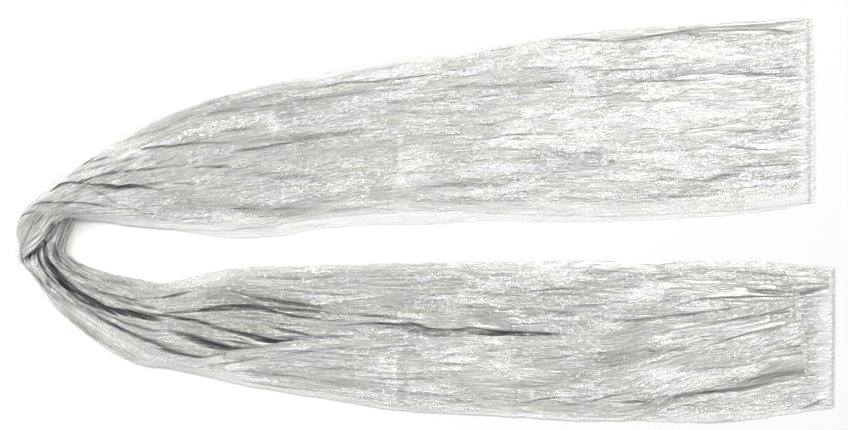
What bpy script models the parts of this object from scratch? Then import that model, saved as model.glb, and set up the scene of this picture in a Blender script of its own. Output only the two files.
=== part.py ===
# A crinkled metallic-cloth scarf, laid on a surface as a horseshoe: two arms to +X and a gathered
# bend at -X. Metres, +Z up, the surface is z = 0, the origin is the bottom centre of the outline.
# The cloth is one long rectangle, hemmed at its two short ends and laid double along its length.
# The upper arm (+Y) is spread wide, and its top layer wraps over the bend. The lower arm (-Y) comes
# out from under that wrap as a bundle of strands, and its outer half is folded over as a flap.

import math
import random
from collections import namedtuple

import bmesh
import bpy
from mathutils import Vector

# Driving dimensions of the cloth
SEAM_GAP = 0.0003
LAYER_TOP = 0.0022
WALL = 0.0010
CLOTH_DEPTH = 0.0027
HEM_WIDTH = 0.0050
HEM_DEPTH = 0.0026
CRINKLE_PITCH = 0.0085
CRINKLE_HEIGHT = 0.0010

# Heights of the surfaces that lie on each other
PANEL_SEAT = LAYER_TOP + SEAM_GAP
FLAP_BED = 0.0030
FLAP_SEAT = FLAP_BED + SEAM_GAP

SILVER = (0.78, 0.79, 0.77, 1.0)
ROUGHNESS = 0.38
METALLIC = 0.85

# One section of a stretch of cloth: its two edges in plan, the height of its upper surface at each
# edge, the extra height of its middle, and how flat-topped the section is (2 is round, 6 is flat).
Section = namedtuple("Section", "outer_x outer_y inner_x inner_y outer_z crown inner_z flatness")

# One large fold: three points along it in plan, its half width, and its depth below the cloth
# (a negative depth is a ridge).
Fold = namedtuple("Fold", "x1 y1 x2 y2 x3 y3 half_width depth")

UPPER_PANEL = [
    Section(0.4060, 0.2160, 0.4060, 0.0190, 0.0040, 0.0012, 0.0040, 6.0),
    Section(0.3500, 0.2115, 0.3500, 0.0130, 0.0040, 0.0012, 0.0040, 6.0),
    Section(0.2800, 0.2070, 0.2800, 0.0070, 0.0040, 0.0012, 0.0040, 6.0),
    Section(0.2000, 0.2010, 0.2000, 0.0030, 0.0040, 0.0012, 0.0040, 6.0),
    Section(0.1300, 0.1920, 0.1300, 0.0050, 0.0040, 0.0012, 0.0040, 6.0),
    Section(0.0600, 0.1790, 0.0600, 0.0080, 0.0040, 0.0012, 0.0040, 6.0),
    Section(0.0000, 0.1700, 0.0000, 0.0090, 0.0040, 0.0012, 0.0040, 6.0),
    Section(-0.0600, 0.1610, -0.0600, 0.0050, 0.0040, 0.0013, 0.0040, 6.0),
    Section(-0.1200, 0.1480, -0.1200, 0.0000, 0.0040, 0.0014, 0.0040, 5.5),
    Section(-0.1800, 0.1405, -0.1820, -0.0100, 0.0040, 0.0018, 0.0040, 5.0),
    Section(-0.2400, 0.1235, -0.2320, -0.0110, 0.0040, 0.0030, 0.0040, 4.0),
    Section(-0.2900, 0.1035, -0.2720, -0.0085, 0.0040, 0.0052, 0.0040, 3.2),
    Section(-0.3350, 0.0790, -0.3120, -0.0050, 0.0038, 0.0088, 0.0038, 2.8),
    Section(-0.3700, 0.0570, -0.3430, -0.0005, 0.0036, 0.0122, 0.0040, 2.5),
    Section(-0.3980, 0.0370, -0.3620, 0.0020, 0.0036, 0.0140, 0.0060, 2.4),
    Section(-0.4150, 0.0230, -0.3800, 0.0030, 0.0036, 0.0105, 0.0125, 2.4),
    Section(-0.4270, 0.0100, -0.3940, -0.0050, 0.0036, 0.0075, 0.0145, 2.2),
    Section(-0.4330, -0.0010, -0.4040, -0.0180, 0.0036, 0.0055, 0.0140, 2.0),
    Section(-0.4340, -0.0110, -0.4160, -0.0295, 0.0036, 0.0035, 0.0120, 2.0),
    Section(-0.4320, -0.0210, -0.4290, -0.0410, 0.0036, 0.0020, 0.0070, 2.0),
]

LOWER_PANEL = [
    Section(-0.4270, -0.0060, -0.3690, 0.0045, 0.0016, 0.0066, 0.0016, 2.2),
    Section(-0.4290, -0.0240, -0.3770, -0.0090, 0.0016, 0.0068, 0.0016, 2.2),
    Section(-0.4300, -0.0380, -0.3850, -0.0230, 0.0016, 0.0080, 0.0016, 2.2),
    Section(-0.4270, -0.0490, -0.3870, -0.0340, 0.0016, 0.0098, 0.0016, 2.2),
    Section(-0.4190, -0.0580, -0.3780, -0.0395, 0.0016, 0.0112, 0.0016, 2.2),
    Section(-0.4050, -0.0760, -0.3600, -0.0490, 0.0016, 0.0122, 0.0016, 2.2),
    Section(-0.3850, -0.0985, -0.3320, -0.0575, 0.0018, 0.0120, 0.0018, 2.2),
    Section(-0.3520, -0.1265, -0.3030, -0.0635, 0.0018, 0.0114, 0.0018, 2.4),
    Section(-0.3150, -0.1500, -0.2800, -0.0670, 0.0018, 0.0104, 0.0018, 2.5),
    Section(-0.2750, -0.1565, -0.2520, -0.0605, 0.0018, 0.0094, 0.0018, 2.6),
    Section(-0.2350, -0.1635, -0.2250, -0.0545, 0.0018, 0.0082, 0.0018, 3.0),
    Section(-0.1900, -0.1725, -0.1900, -0.0500, 0.0018, 0.0066, 0.0018, 4.0),
    Section(-0.1300, -0.1830, -0.1300, -0.0495, 0.0018, 0.0048, 0.0018, 5.0),
    Section(-0.0600, -0.1935, -0.0600, -0.0470, 0.0018, 0.0036, 0.0018, 6.0),
    Section(0.0100, -0.2000, 0.0100, -0.0450, 0.0018, 0.0032, 0.0018, 6.0),
    Section(0.0800, -0.2055, 0.0800, -0.0445, 0.0018, 0.0032, 0.0018, 6.0),
    Section(0.1600, -0.2095, 0.1600, -0.0430, 0.0018, 0.0032, 0.0018, 6.0),
    Section(0.2300, -0.2135, 0.2300, -0.0435, 0.0018, 0.0032, 0.0018, 6.0),
    Section(0.3100, -0.2155, 0.3100, -0.0435, 0.0018, 0.0032, 0.0018, 6.0),
    Section(0.3700, -0.2090, 0.3700, -0.0450, 0.0018, 0.0032, 0.0018, 6.0),
    Section(0.4310, -0.2000, 0.4320, -0.0505, 0.0018, 0.0030, 0.0018, 6.0),
]

LOWER_FLAP = [
    Section(-0.2620, -0.1595, -0.2560, -0.1530, 0.0045, 0.0006, 0.0050, 3.0),
    Section(-0.2420, -0.1645, -0.2400, -0.1490, 0.0045, 0.0014, 0.0056, 3.0),
    Section(-0.2130, -0.1705, -0.2150, -0.1415, 0.0045, 0.0020, 0.0060, 3.0),
    Section(-0.1760, -0.1785, -0.1800, -0.1345, 0.0045, 0.0022, 0.0060, 3.5),
    Section(-0.1360, -0.1850, -0.1400, -0.1285, 0.0045, 0.0022, 0.0060, 4.0),
    Section(-0.0860, -0.1930, -0.0900, -0.1295, 0.0045, 0.0018, 0.0058, 5.0),
    Section(-0.0280, -0.2020, -0.0300, -0.1275, 0.0045, 0.0014, 0.0058, 6.0),
    Section(0.0300, -0.2060, 0.0300, -0.1185, 0.0045, 0.0014, 0.0060, 6.0),
    Section(0.0900, -0.2085, 0.0900, -0.1210, 0.0045, 0.0014, 0.0060, 6.0),
    Section(0.1500, -0.2130, 0.1500, -0.1220, 0.0045, 0.0014, 0.0060, 6.0),
    Section(0.2000, -0.2145, 0.2000, -0.1205, 0.0045, 0.0014, 0.0060, 6.0),
    Section(0.2380, -0.2085, 0.2400, -0.1100, 0.0046, 0.0014, 0.0060, 6.0),
    Section(0.2880, -0.1870, 0.2900, -0.1030, 0.0050, 0.0012, 0.0060, 6.0),
    Section(0.3420, -0.1810, 0.3400, -0.0955, 0.0050, 0.0012, 0.0060, 6.0),
    Section(0.4070, -0.1655, 0.3930, -0.0805, 0.0050, 0.0010, 0.0058, 6.0),
]

# The layer under the upper arm: it shows past the top layer at both edges and at the hem.
UPPER_UNDER = [
    Section(0.4090, 0.2170, 0.4120, 0.0190, 0.0014, 0.0004, 0.0014, 6.0),
    Section(0.3500, 0.2130, 0.3500, 0.0085, 0.0014, 0.0004, 0.0014, 6.0),
    Section(0.2800, 0.2100, 0.2800, 0.0030, 0.0014, 0.0004, 0.0014, 6.0),
    Section(0.2000, 0.2040, 0.2000, -0.0010, 0.0014, 0.0004, 0.0014, 6.0),
    Section(0.1300, 0.1955, 0.1300, -0.0015, 0.0014, 0.0004, 0.0014, 6.0),
    Section(0.0600, 0.1850, 0.0600, 0.0005, 0.0014, 0.0004, 0.0014, 6.0),
    Section(0.0000, 0.1790, 0.0000, -0.0045, 0.0014, 0.0004, 0.0014, 6.0),
    Section(-0.0600, 0.1690, -0.0600, -0.0050, 0.0014, 0.0004, 0.0014, 6.0),
    Section(-0.1100, 0.1570, -0.1100, -0.0085, 0.0014, 0.0004, 0.0014, 6.0),
    Section(-0.1500, 0.1490, -0.1500, -0.0130, 0.0014, 0.0004, 0.0014, 6.0),
]

# The same layer where it shows as a narrow rim round the outside of the bend.
BEND_EDGE = [
    Section(-0.1520, 0.1487, -0.1500, 0.1390, 0.0014, 0.0005, 0.0020, 4.0),
    Section(-0.2000, 0.1365, -0.1970, 0.1270, 0.0014, 0.0005, 0.0020, 4.0),
    Section(-0.2500, 0.1215, -0.2460, 0.1120, 0.0014, 0.0005, 0.0020, 4.0),
    Section(-0.3000, 0.1005, -0.2950, 0.0915, 0.0014, 0.0005, 0.0020, 4.0),
    Section(-0.3450, 0.0745, -0.3395, 0.0660, 0.0014, 0.0005, 0.0020, 4.0),
    Section(-0.3800, 0.0510, -0.3740, 0.0430, 0.0014, 0.0005, 0.0020, 4.0),
    Section(-0.4080, 0.0290, -0.4010, 0.0220, 0.0014, 0.0005, 0.0020, 4.0),
    Section(-0.4270, 0.0120, -0.4190, 0.0060, 0.0014, 0.0005, 0.0020, 4.0),
    Section(-0.4365, -0.0020, -0.4285, -0.0045, 0.0014, 0.0005, 0.0020, 4.0),
    Section(-0.4385, -0.0180, -0.4298, -0.0170, 0.0014, 0.0005, 0.0020, 4.0),
    Section(-0.4365, -0.0340, -0.4310, -0.0340, 0.0014, 0.0005, 0.0020, 4.0),
    Section(-0.4320, -0.0460, -0.4297, -0.0450, 0.0014, 0.0003, 0.0016, 4.0),
]

# Inner edge of the gathered layers hidden in the bend and how high they are heaped, one row for
# each of the first nine sections of BEND_EDGE, along whose inner side they lie.
Heap = namedtuple("Heap", "inner_x inner_y dome")
BEND_HEAP = [
    Heap(-0.1523, -0.0122, 0.0000),
    Heap(-0.2050, -0.0172, 0.0004),
    Heap(-0.2520, -0.0112, 0.0014),
    Heap(-0.2920, -0.0068, 0.0034),
    Heap(-0.3260, -0.0020, 0.0062),
    Heap(-0.3500, 0.0010, 0.0084),
    Heap(-0.3630, 0.0045, 0.0090),
    Heap(-0.3670, 0.0060, 0.0076),
    Heap(-0.3687, 0.0066, 0.0056),
]

UPPER_FOLDS = [
    Fold(-0.360, 0.040, -0.330, 0.038, -0.295, 0.037, 0.0040, 0.0040),
    Fold(-0.360, 0.041, -0.330, 0.051, -0.255, 0.059, 0.0035, 0.0018),
    Fold(-0.400, 0.031, -0.386, 0.039, -0.362, 0.041, 0.0030, 0.0024),
    Fold(-0.305, 0.077, -0.260, 0.081, -0.200, 0.083, 0.0035, 0.0018),
    Fold(-0.204, 0.075, -0.170, 0.079, -0.140, 0.084, 0.0035, 0.0020),
    Fold(-0.252, 0.054, -0.222, 0.057, -0.193, 0.055, 0.0032, 0.0015),
    Fold(-0.270, 0.105, -0.180, 0.120, -0.080, 0.133, 0.0045, 0.0014),
    Fold(-0.160, 0.134, -0.080, 0.146, 0.020, 0.155, 0.0040, 0.0014),
    Fold(-0.080, 0.133, -0.040, 0.138, 0.000, 0.142, 0.0040, 0.0013),
    Fold(0.020, 0.135, 0.080, 0.145, 0.165, 0.149, 0.0042, 0.0014),
    Fold(0.040, 0.087, 0.090, 0.091, 0.165, 0.094, 0.0036, 0.0014),
    Fold(-0.100, 0.093, -0.050, 0.095, 0.010, 0.094, 0.0040, 0.0010),
    Fold(-0.190, 0.048, -0.150, 0.048, -0.100, 0.043, 0.0060, 0.0010),
    Fold(0.015, 0.104, 0.050, 0.102, 0.095, 0.111, 0.0050, 0.0012),
    Fold(0.000, 0.030, 0.040, 0.036, 0.095, 0.037, 0.0065, 0.0010),
    Fold(0.110, 0.068, 0.150, 0.069, 0.195, 0.072, 0.0040, 0.0012),
    Fold(0.178, 0.132, 0.220, 0.147, 0.320, 0.151, 0.0040, 0.0014),
    Fold(0.212, 0.166, 0.245, 0.174, 0.300, 0.180, 0.0040, 0.0013),
    Fold(0.225, 0.195, 0.300, 0.203, 0.385, 0.206, 0.0042, 0.0012),
    Fold(0.320, 0.095, 0.355, 0.094, 0.400, 0.097, 0.0050, 0.0012),
    Fold(0.315, 0.077, 0.340, 0.079, 0.400, 0.078, 0.0042, 0.0012),
    Fold(0.280, 0.038, 0.315, 0.044, 0.345, 0.055, 0.0075, 0.0014),
    Fold(0.230, 0.029, 0.280, 0.028, 0.335, 0.032, 0.0042, 0.0012),
    Fold(-0.180, 0.011, -0.150, 0.012, -0.110, 0.016, 0.0040, 0.0010),
]

LOWER_FOLDS = [
    Fold(-0.407, -0.018, -0.402, -0.038, -0.388, -0.061, 0.0050, 0.0050),
    Fold(-0.394, -0.052, -0.365, -0.082, -0.318, -0.099, 0.0060, 0.0072),
    Fold(-0.330, -0.096, -0.305, -0.102, -0.280, -0.107, 0.0050, 0.0050),
    Fold(-0.413, -0.028, -0.406, -0.048, -0.386, -0.072, 0.0035, 0.0028),
    Fold(-0.350, -0.103, -0.305, -0.122, -0.262, -0.138, 0.0050, 0.0032),
    Fold(-0.283, -0.101, -0.245, -0.106, -0.200, -0.119, 0.0042, 0.0036),
    Fold(-0.205, -0.118, -0.175, -0.126, -0.145, -0.129, 0.0050, 0.0036),
    Fold(-0.274, -0.118, -0.240, -0.129, -0.200, -0.138, 0.0055, 0.0050),
    Fold(-0.280, -0.082, -0.262, -0.078, -0.246, -0.075, 0.0035, 0.0026),
    Fold(-0.250, -0.097, -0.212, -0.092, -0.163, -0.096, 0.0042, 0.0042),
    Fold(-0.209, -0.075, -0.165, -0.088, -0.095, -0.100, 0.0038, 0.0034),
    Fold(-0.165, -0.118, -0.140, -0.123, -0.118, -0.126, 0.0045, 0.0026),
    Fold(-0.095, -0.097, -0.050, -0.102, -0.015, -0.107, 0.0038, 0.0014),
    Fold(-0.055, -0.110, -0.015, -0.111, 0.030, -0.117, 0.0042, 0.0018),
    Fold(-0.065, -0.070, -0.035, -0.070, 0.000, -0.070, 0.0036, 0.0012),
    Fold(0.085, -0.078, 0.125, -0.074, 0.172, -0.072, 0.0040, 0.0014),
    Fold(0.205, -0.117, 0.245, -0.102, 0.280, -0.088, 0.0040, 0.0016),
    Fold(0.270, -0.089, 0.320, -0.081, 0.396, -0.080, 0.0040, 0.0016),
    Fold(0.295, -0.052, 0.345, -0.054, 0.430, -0.061, 0.0038, 0.0012),
    Fold(0.195, -0.064, 0.245, -0.064, 0.305, -0.060, 0.0040, 0.0010),
    Fold(0.398, -0.079, 0.416, -0.077, 0.434, -0.072, 0.0036, 0.0016),
    Fold(0.250, -0.206, 0.285, -0.197, 0.325, -0.190, 0.0036, 0.0014),
]

FLAP_FOLDS = [
    Fold(-0.232, -0.160, -0.200, -0.162, -0.150, -0.165, 0.0040, 0.0014),
    Fold(0.130, -0.203, 0.155, -0.201, 0.185, -0.195, 0.0042, 0.0016),
    Fold(0.190, -0.193, 0.225, -0.194, 0.255, -0.197, 0.0040, 0.0014),
    Fold(0.190, -0.136, 0.240, -0.139, 0.300, -0.138, 0.0042, 0.0012),
    Fold(0.310, -0.134, 0.345, -0.124, 0.395, -0.114, 0.0040, 0.0012),
    Fold(0.265, -0.160, 0.310, -0.160, 0.355, -0.153, 0.0050, 0.0012),
    Fold(0.325, -0.177, 0.365, -0.170, 0.406, -0.160, 0.0045, 0.0014),
    Fold(-0.065, -0.151, -0.045, -0.147, -0.028, -0.141, 0.0038, 0.0010),
]


def smooth(values, place):
    """The value at a place along evenly numbered values, on a Catmull-Rom curve."""
    last = len(values) - 1
    k = min(int(place), last - 1)
    f = place - k
    before = values[max(k - 1, 0)]
    here = values[k]
    after = values[k + 1]
    beyond = values[min(k + 2, last)]
    return here + 0.5 * f * (
        after - before
        + f * (2 * before - 5 * here + 4 * after - beyond + f * (3 * (here - after) + beyond - before))
    )


def section_at(table, place):
    return Section(*(smooth([getattr(row, name) for row in table], place) for name in Section._fields))


def plan_point(section, t):
    return Vector((
        section.outer_x + (section.inner_x - section.outer_x) * t,
        section.outer_y + (section.inner_y - section.outer_y) * t,
    ))


def cloth_height(section, t):
    """Upper surface of the cloth without its crinkles and folds."""
    edge = section.outer_z + (section.inner_z - section.outer_z) * t
    return edge + section.crown * (1 - abs(2 * t - 1) ** section.flatness)


def segment_place(point, a, b):
    """Distance of a point from a segment, and how far along it the nearest place is."""
    d = b - a
    along = max(0.0, min(1.0, (point - a).dot(d) / d.length_squared))
    return (point - a - d * along).length, along


def fold_depth(point, fold):
    """How far a fold lowers the cloth at a point: deepest on its line, nothing past its width."""
    start, middle, end = (Vector(p) for p in (fold[0:2], fold[2:4], fold[4:6]))
    near, along = segment_place(point, start, middle)
    far, beyond = segment_place(point, middle, end)
    if far < near:
        near, along = far, 1 + beyond
    across = max(0.0, 1 - near / fold.half_width)
    taper = math.sin(math.pi * min(1.0, max(0.0, 0.04 + 0.46 * along))) ** 0.6
    return fold.depth * across * taper


def folded(point, folds):
    return sum(fold_depth(point, fold) for fold in folds)


def row_places(table, spacing):
    """Places along a table of sections, about the same length of cloth apart."""
    places = []
    for k in range(len(table) - 1):
        a = plan_point(table[k], 0.5)
        b = plan_point(table[k + 1], 0.5)
        steps = max(1, round((b - a).length / spacing))
        places += [k + i / steps for i in range(steps)]
    return places + [len(table) - 1.0]


def column_places(count, seed):
    """Crest and trough lines across the cloth, unevenly spaced, with a slim margin at each edge."""
    chance = random.Random(seed)
    inner = [(i + 0.5 + chance.uniform(-0.22, 0.22)) / count for i in range(count)]
    return [0.0, *inner, 1.0]


def crinkle_heights(columns, rows, seed):
    """Height of each crest and trough, alternating across the cloth and changing along it."""
    chance = random.Random(seed)
    lines = []
    for j in range(columns):
        sign = 1 if j % 2 else -1
        swell = chance.uniform(0.08, 0.35)
        shift = chance.uniform(0, 2 * math.pi)
        size = chance.uniform(0.45, 1.0)
        lines.append([sign * size * (0.72 + 0.28 * math.sin(swell * i + shift)) for i in range(rows)])
    for edge in (0, columns - 1):
        lines[edge] = [0.0] * rows
    return lines


def cloth_material():
    material = bpy.data.materials.new("silver_tissue")
    material.use_nodes = True
    shader = material.node_tree.nodes["Principled BSDF"]
    shader.inputs["Base Color"].default_value = SILVER
    shader.inputs["Roughness"].default_value = ROUGHNESS
    shader.inputs["Metallic"].default_value = METALLIC
    return material


def make_wall(name, rows, columns, place, material, collection):
    """A closed wall of cloth: a grid whose copy is pulled off it, place(i, j) giving plan, bottom, top."""
    mesh = bmesh.new()
    bmesh.ops.create_grid(mesh, x_segments=rows - 1, y_segments=columns - 1, size=0.5)
    key = {}
    for vert in mesh.verts:
        i = round((vert.co.x + 0.5) * (rows - 1))
        j = round((vert.co.y + 0.5) * (columns - 1))
        key[vert] = (i, j)
        vert.tag = True
    grown = bmesh.ops.extrude_face_region(mesh, geom=mesh.faces[:])
    upper = {v for v in grown["geom"] if isinstance(v, bmesh.types.BMVert)}
    for vert in mesh.verts:
        if vert in upper:
            i = round((vert.co.x + 0.5) * (rows - 1))
            j = round((vert.co.y + 0.5) * (columns - 1))
            key[vert] = (i, j)
    for vert, (i, j) in key.items():
        plan, bottom, top = place(i, j)
        vert.co = (plan.x, plan.y, top if vert in upper else bottom)
    bmesh.ops.recalc_face_normals(mesh, faces=mesh.faces[:])
    data = bpy.data.meshes.new(name)
    mesh.to_mesh(data)
    mesh.free()
    data.materials.append(material)
    obj = bpy.data.objects.new(name, data)
    collection.objects.link(obj)
    return obj


def pressed_places(ring, points):
    """The corners of all cells of a grid of points that reach inside a ring."""
    pressed = set()
    for i in range(len(points) - 1):
        for j in range(len(points[0]) - 1):
            a, b = points[i][j], points[i + 1][j]
            c, d = points[i][j + 1], points[i + 1][j + 1]
            if distance_outside((a + d) / 2, ring) > 0.5 * (a - d).length + 0.002:
                continue
            steps = [0.0, 0.5, 1.0]
            inside = any(
                distance_outside(a.lerp(b, u).lerp(c.lerp(d, u), v), ring) < 0.001
                for u in steps
                for v in steps
            )
            if inside:
                pressed |= {(i, j), (i + 1, j), (i, j + 1), (i + 1, j + 1)}
    return pressed


def panel(name, table, folds, seat, crests, spacing, seed, material, collection, top_at=None, ring=None):
    """A stretch of crinkled cloth: crests and troughs run along it, with its large folds pressed in.
    seat(section, t, height) gives its plain underside. Its top stays below top_at: inside ring, or
    everywhere when there is no ring."""
    columns = column_places(2 * crests, seed)
    places = row_places(table, spacing)
    crinkles = crinkle_heights(len(columns), len(places), seed + 1)
    sections = [section_at(table, p) for p in places]
    points = [[plan_point(section, t) for t in columns] for section in sections]
    pressed = pressed_places(ring, points) if ring else set()

    def place(i, j):
        point = points[i][j]
        plain = cloth_height(sections[i], columns[j])
        bottom = seat(sections[i], columns[j], plain)
        top = plain + CRINKLE_HEIGHT * crinkles[j][i] - folded(point, folds)
        if top_at and (not ring or (i, j) in pressed):
            top = min(top, top_at)
        return point, bottom, max(top, bottom + WALL)

    return make_wall(name, len(places), len(columns), place, material, collection)


def outline_of(table):
    """The edge of a stretch of cloth in plan, as a closed ring of points."""
    places = row_places(table, 0.012)
    sections = [section_at(table, p) for p in places]
    outer = [plan_point(s, 0.0) for s in sections]
    inner = [plan_point(s, 1.0) for s in sections]
    return outer + inner[::-1]


def distance_outside(point, ring):
    """How far a point is outside a ring in plan; 0 inside it."""
    inside = False
    nearest = math.inf
    for a, b in zip(ring, ring[1:] + ring[:1]):
        if (a.y > point.y) != (b.y > point.y):
            if point.x < a.x + (point.y - a.y) / (b.y - a.y) * (b.x - a.x):
                inside = not inside
        nearest = min(nearest, segment_place(point, a, b)[0])
    return 0.0 if inside else nearest


def hem(name, section, bottom, height, direction, crests, seed, material, collection):
    """The rolled hem along the end of a panel: a narrow band, higher in its middle, waved like the cloth."""
    columns = column_places(crests, seed)
    wave = crinkle_heights(len(columns), 1, seed + 1)
    steps = [SEAM_GAP, SEAM_GAP + 0.3 * HEM_WIDTH, SEAM_GAP + 0.7 * HEM_WIDTH, HEM_WIDTH]
    rise = [0.55, 1.0, 1.0, 0.5]

    def place(i, j):
        point = plan_point(section, columns[j]) + direction * steps[i]
        ripple = 0.35 * CRINKLE_HEIGHT * wave[j][0]
        return point, bottom, bottom + rise[i] * (height + ripple)

    return make_wall(name, len(steps), len(columns), place, material, collection)


def bend_heap(material, collection):
    """The gathered layers inside the bend: one rounded solid with a low rim, next to the bend's edge."""
    table = [
        Section(edge.inner_x, edge.inner_y, heap.inner_x, heap.inner_y, LAYER_TOP, heap.dome, LAYER_TOP, 2.0)
        for edge, heap in zip(BEND_EDGE, BEND_HEAP)
    ]
    columns = [0.0, 0.06, 0.15, 0.28, 0.42, 0.58, 0.72, 0.85, 0.94, 1.0]
    places = row_places(table, 0.020)
    sections = [section_at(table, p) for p in places]
    start_gap = Vector((-SEAM_GAP, 0.0))

    def place(i, j):
        section, t = sections[i], columns[j]
        span = Vector((section.inner_x - section.outer_x, section.inner_y - section.outer_y))
        point = plan_point(section, t) + (1 - t) * span.normalized() * SEAM_GAP * 1.4 + start_gap
        dome = section.crown * math.sin(math.pi * t) ** 1.6
        return point, 0.0, section.outer_z - SEAM_GAP * 0.2 + dome

    return make_wall("bend_heap", len(places), len(columns), place, material, collection)


def main():
    for obj in list(bpy.data.objects):
        bpy.data.objects.remove(obj)
    scarf = bpy.data.collections.new("scarf")
    bpy.context.scene.collection.children.link(scarf)
    silver = cloth_material()
    flap_ring = outline_of(LOWER_FLAP)

    def on_floor(section, t, height):
        return 0.0

    def on_layer(section, t, height):
        return max(PANEL_SEAT, height - CLOTH_DEPTH)

    def on_flap_bed(section, t, height):
        return FLAP_SEAT

    panel("upper_under", UPPER_UNDER, [], on_floor, 7, 0.030, 11, silver, scarf, LAYER_TOP)
    panel("bend_edge", BEND_EDGE, [], on_floor, 1, 0.020, 12, silver, scarf, LAYER_TOP)
    bend_heap(silver, scarf)
    panel("upper_panel", UPPER_PANEL, UPPER_FOLDS, on_layer, 24, 0.019, 21, silver, scarf)
    panel(
        "lower_panel", LOWER_PANEL, LOWER_FOLDS, on_floor, 19, 0.017, 31, silver, scarf, FLAP_BED, flap_ring
    )
    panel("lower_flap", LOWER_FLAP, FLAP_FOLDS, on_flap_bed, 9, 0.018, 41, silver, scarf)

    right = Vector((1.0, 0.0))
    flap_end = LOWER_FLAP[-1]
    flap_line = Vector((flap_end.outer_x - flap_end.inner_x, flap_end.outer_y - flap_end.inner_y))
    flap_right = Vector((-flap_line.y, flap_line.x)).normalized()
    hem("upper_panel_hem", UPPER_PANEL[0], PANEL_SEAT, HEM_DEPTH, right, 26, 51, silver, scarf)
    hem("upper_under_hem", UPPER_UNDER[0], 0.0, LAYER_TOP - 0.0004, right, 16, 52, silver, scarf)
    hem("lower_panel_hem", LOWER_PANEL[-1], 0.0, 0.0042, right, 22, 53, silver, scarf)
    hem("lower_flap_hem", flap_end, FLAP_SEAT + 0.002, HEM_DEPTH, flap_right, 14, 54, silver, scarf)


main()
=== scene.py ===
# Crinkled silver scarf, laid double and set down in a horseshoe.
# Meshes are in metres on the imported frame. Sizes in the settings are in millimetres.
import math
import random

import bmesh
import bpy
import numpy as np
from mathutils import Matrix, Vector, noise
from mathutils.bvhtree import BVHTree


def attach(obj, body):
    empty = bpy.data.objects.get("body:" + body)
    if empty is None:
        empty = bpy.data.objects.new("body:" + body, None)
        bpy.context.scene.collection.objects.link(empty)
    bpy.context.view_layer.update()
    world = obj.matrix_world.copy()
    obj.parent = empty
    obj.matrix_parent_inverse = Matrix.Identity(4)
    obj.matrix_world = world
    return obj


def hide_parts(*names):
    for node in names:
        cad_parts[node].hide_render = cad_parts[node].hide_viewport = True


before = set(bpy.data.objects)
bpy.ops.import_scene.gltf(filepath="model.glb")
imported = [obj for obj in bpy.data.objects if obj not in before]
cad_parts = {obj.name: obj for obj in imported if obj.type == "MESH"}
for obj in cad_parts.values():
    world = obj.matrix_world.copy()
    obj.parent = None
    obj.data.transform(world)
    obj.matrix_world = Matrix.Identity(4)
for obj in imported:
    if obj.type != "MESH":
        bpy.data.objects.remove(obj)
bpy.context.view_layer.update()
print("frame loaded")

millimetre = 0.001


def spline(values, places):
    # smooth curve through the rows of a table, read at places counted in rows
    values = np.asarray(values, float)
    last = len(values) - 1
    k = np.minimum(places.astype(int), last - 1)
    f = (places - k)[:, None]
    a, b, c, d = (values[np.clip(k + step, 0, last)] for step in (-1, 0, 1, 2))
    return b + 0.5 * f * (c - a + f * (2 * a - 5 * b + 4 * c - d + f * (3 * (b - c) + d - a)))


def smoothLine(points, steps=5):
    # a drawn line with its corners rounded
    places = np.linspace(0, len(points) - 1, (len(points) - 1) * steps + 1)
    return spline(points, places)


def nearLine(x, y, line):
    # distance to a drawn line, how far along it (0 to 1), and which side (+1 is its left)
    steps = np.diff(line, axis=0)
    lengths = np.hypot(steps[:, 0], steps[:, 1])
    run = np.concatenate([[0], np.cumsum(lengths)])
    nearest = np.full(x.shape, np.inf)
    along = np.zeros(x.shape)
    side = np.ones(x.shape)
    for (ax, ay), (dx, dy), length, start in zip(line, steps, lengths, run):
        f = np.clip(((x - ax) * dx + (y - ay) * dy) / (length * length), 0, 1)
        px, py = x - ax - f * dx, y - ay - f * dy
        distance = np.hypot(px, py)
        closer = distance < nearest
        nearest = np.where(closer, distance, nearest)
        along = np.where(closer, (start + f * length) / run[-1], along)
        side = np.where(closer, np.sign(dx * py - dy * px), side)
    return nearest, along, side


def streaks(u, v, long, wide, seed):
    # noise drawn out along the cloth: features about long by wide
    u, v = np.broadcast_arrays(u, v)
    flat = [noise.noise((a / long, b / wide, seed)) for a, b in zip(u.ravel(), v.ravel())]
    return np.array(flat).reshape(u.shape)


def pleated(values):
    # turns smooth noise into rounded crests with narrow valleys between them
    return 2.4 * np.abs(values) - 0.4


def bell(values, width):
    # 1 where the values are 0, and fading out on both sides
    return np.exp(-((values / width) ** 2))


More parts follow.
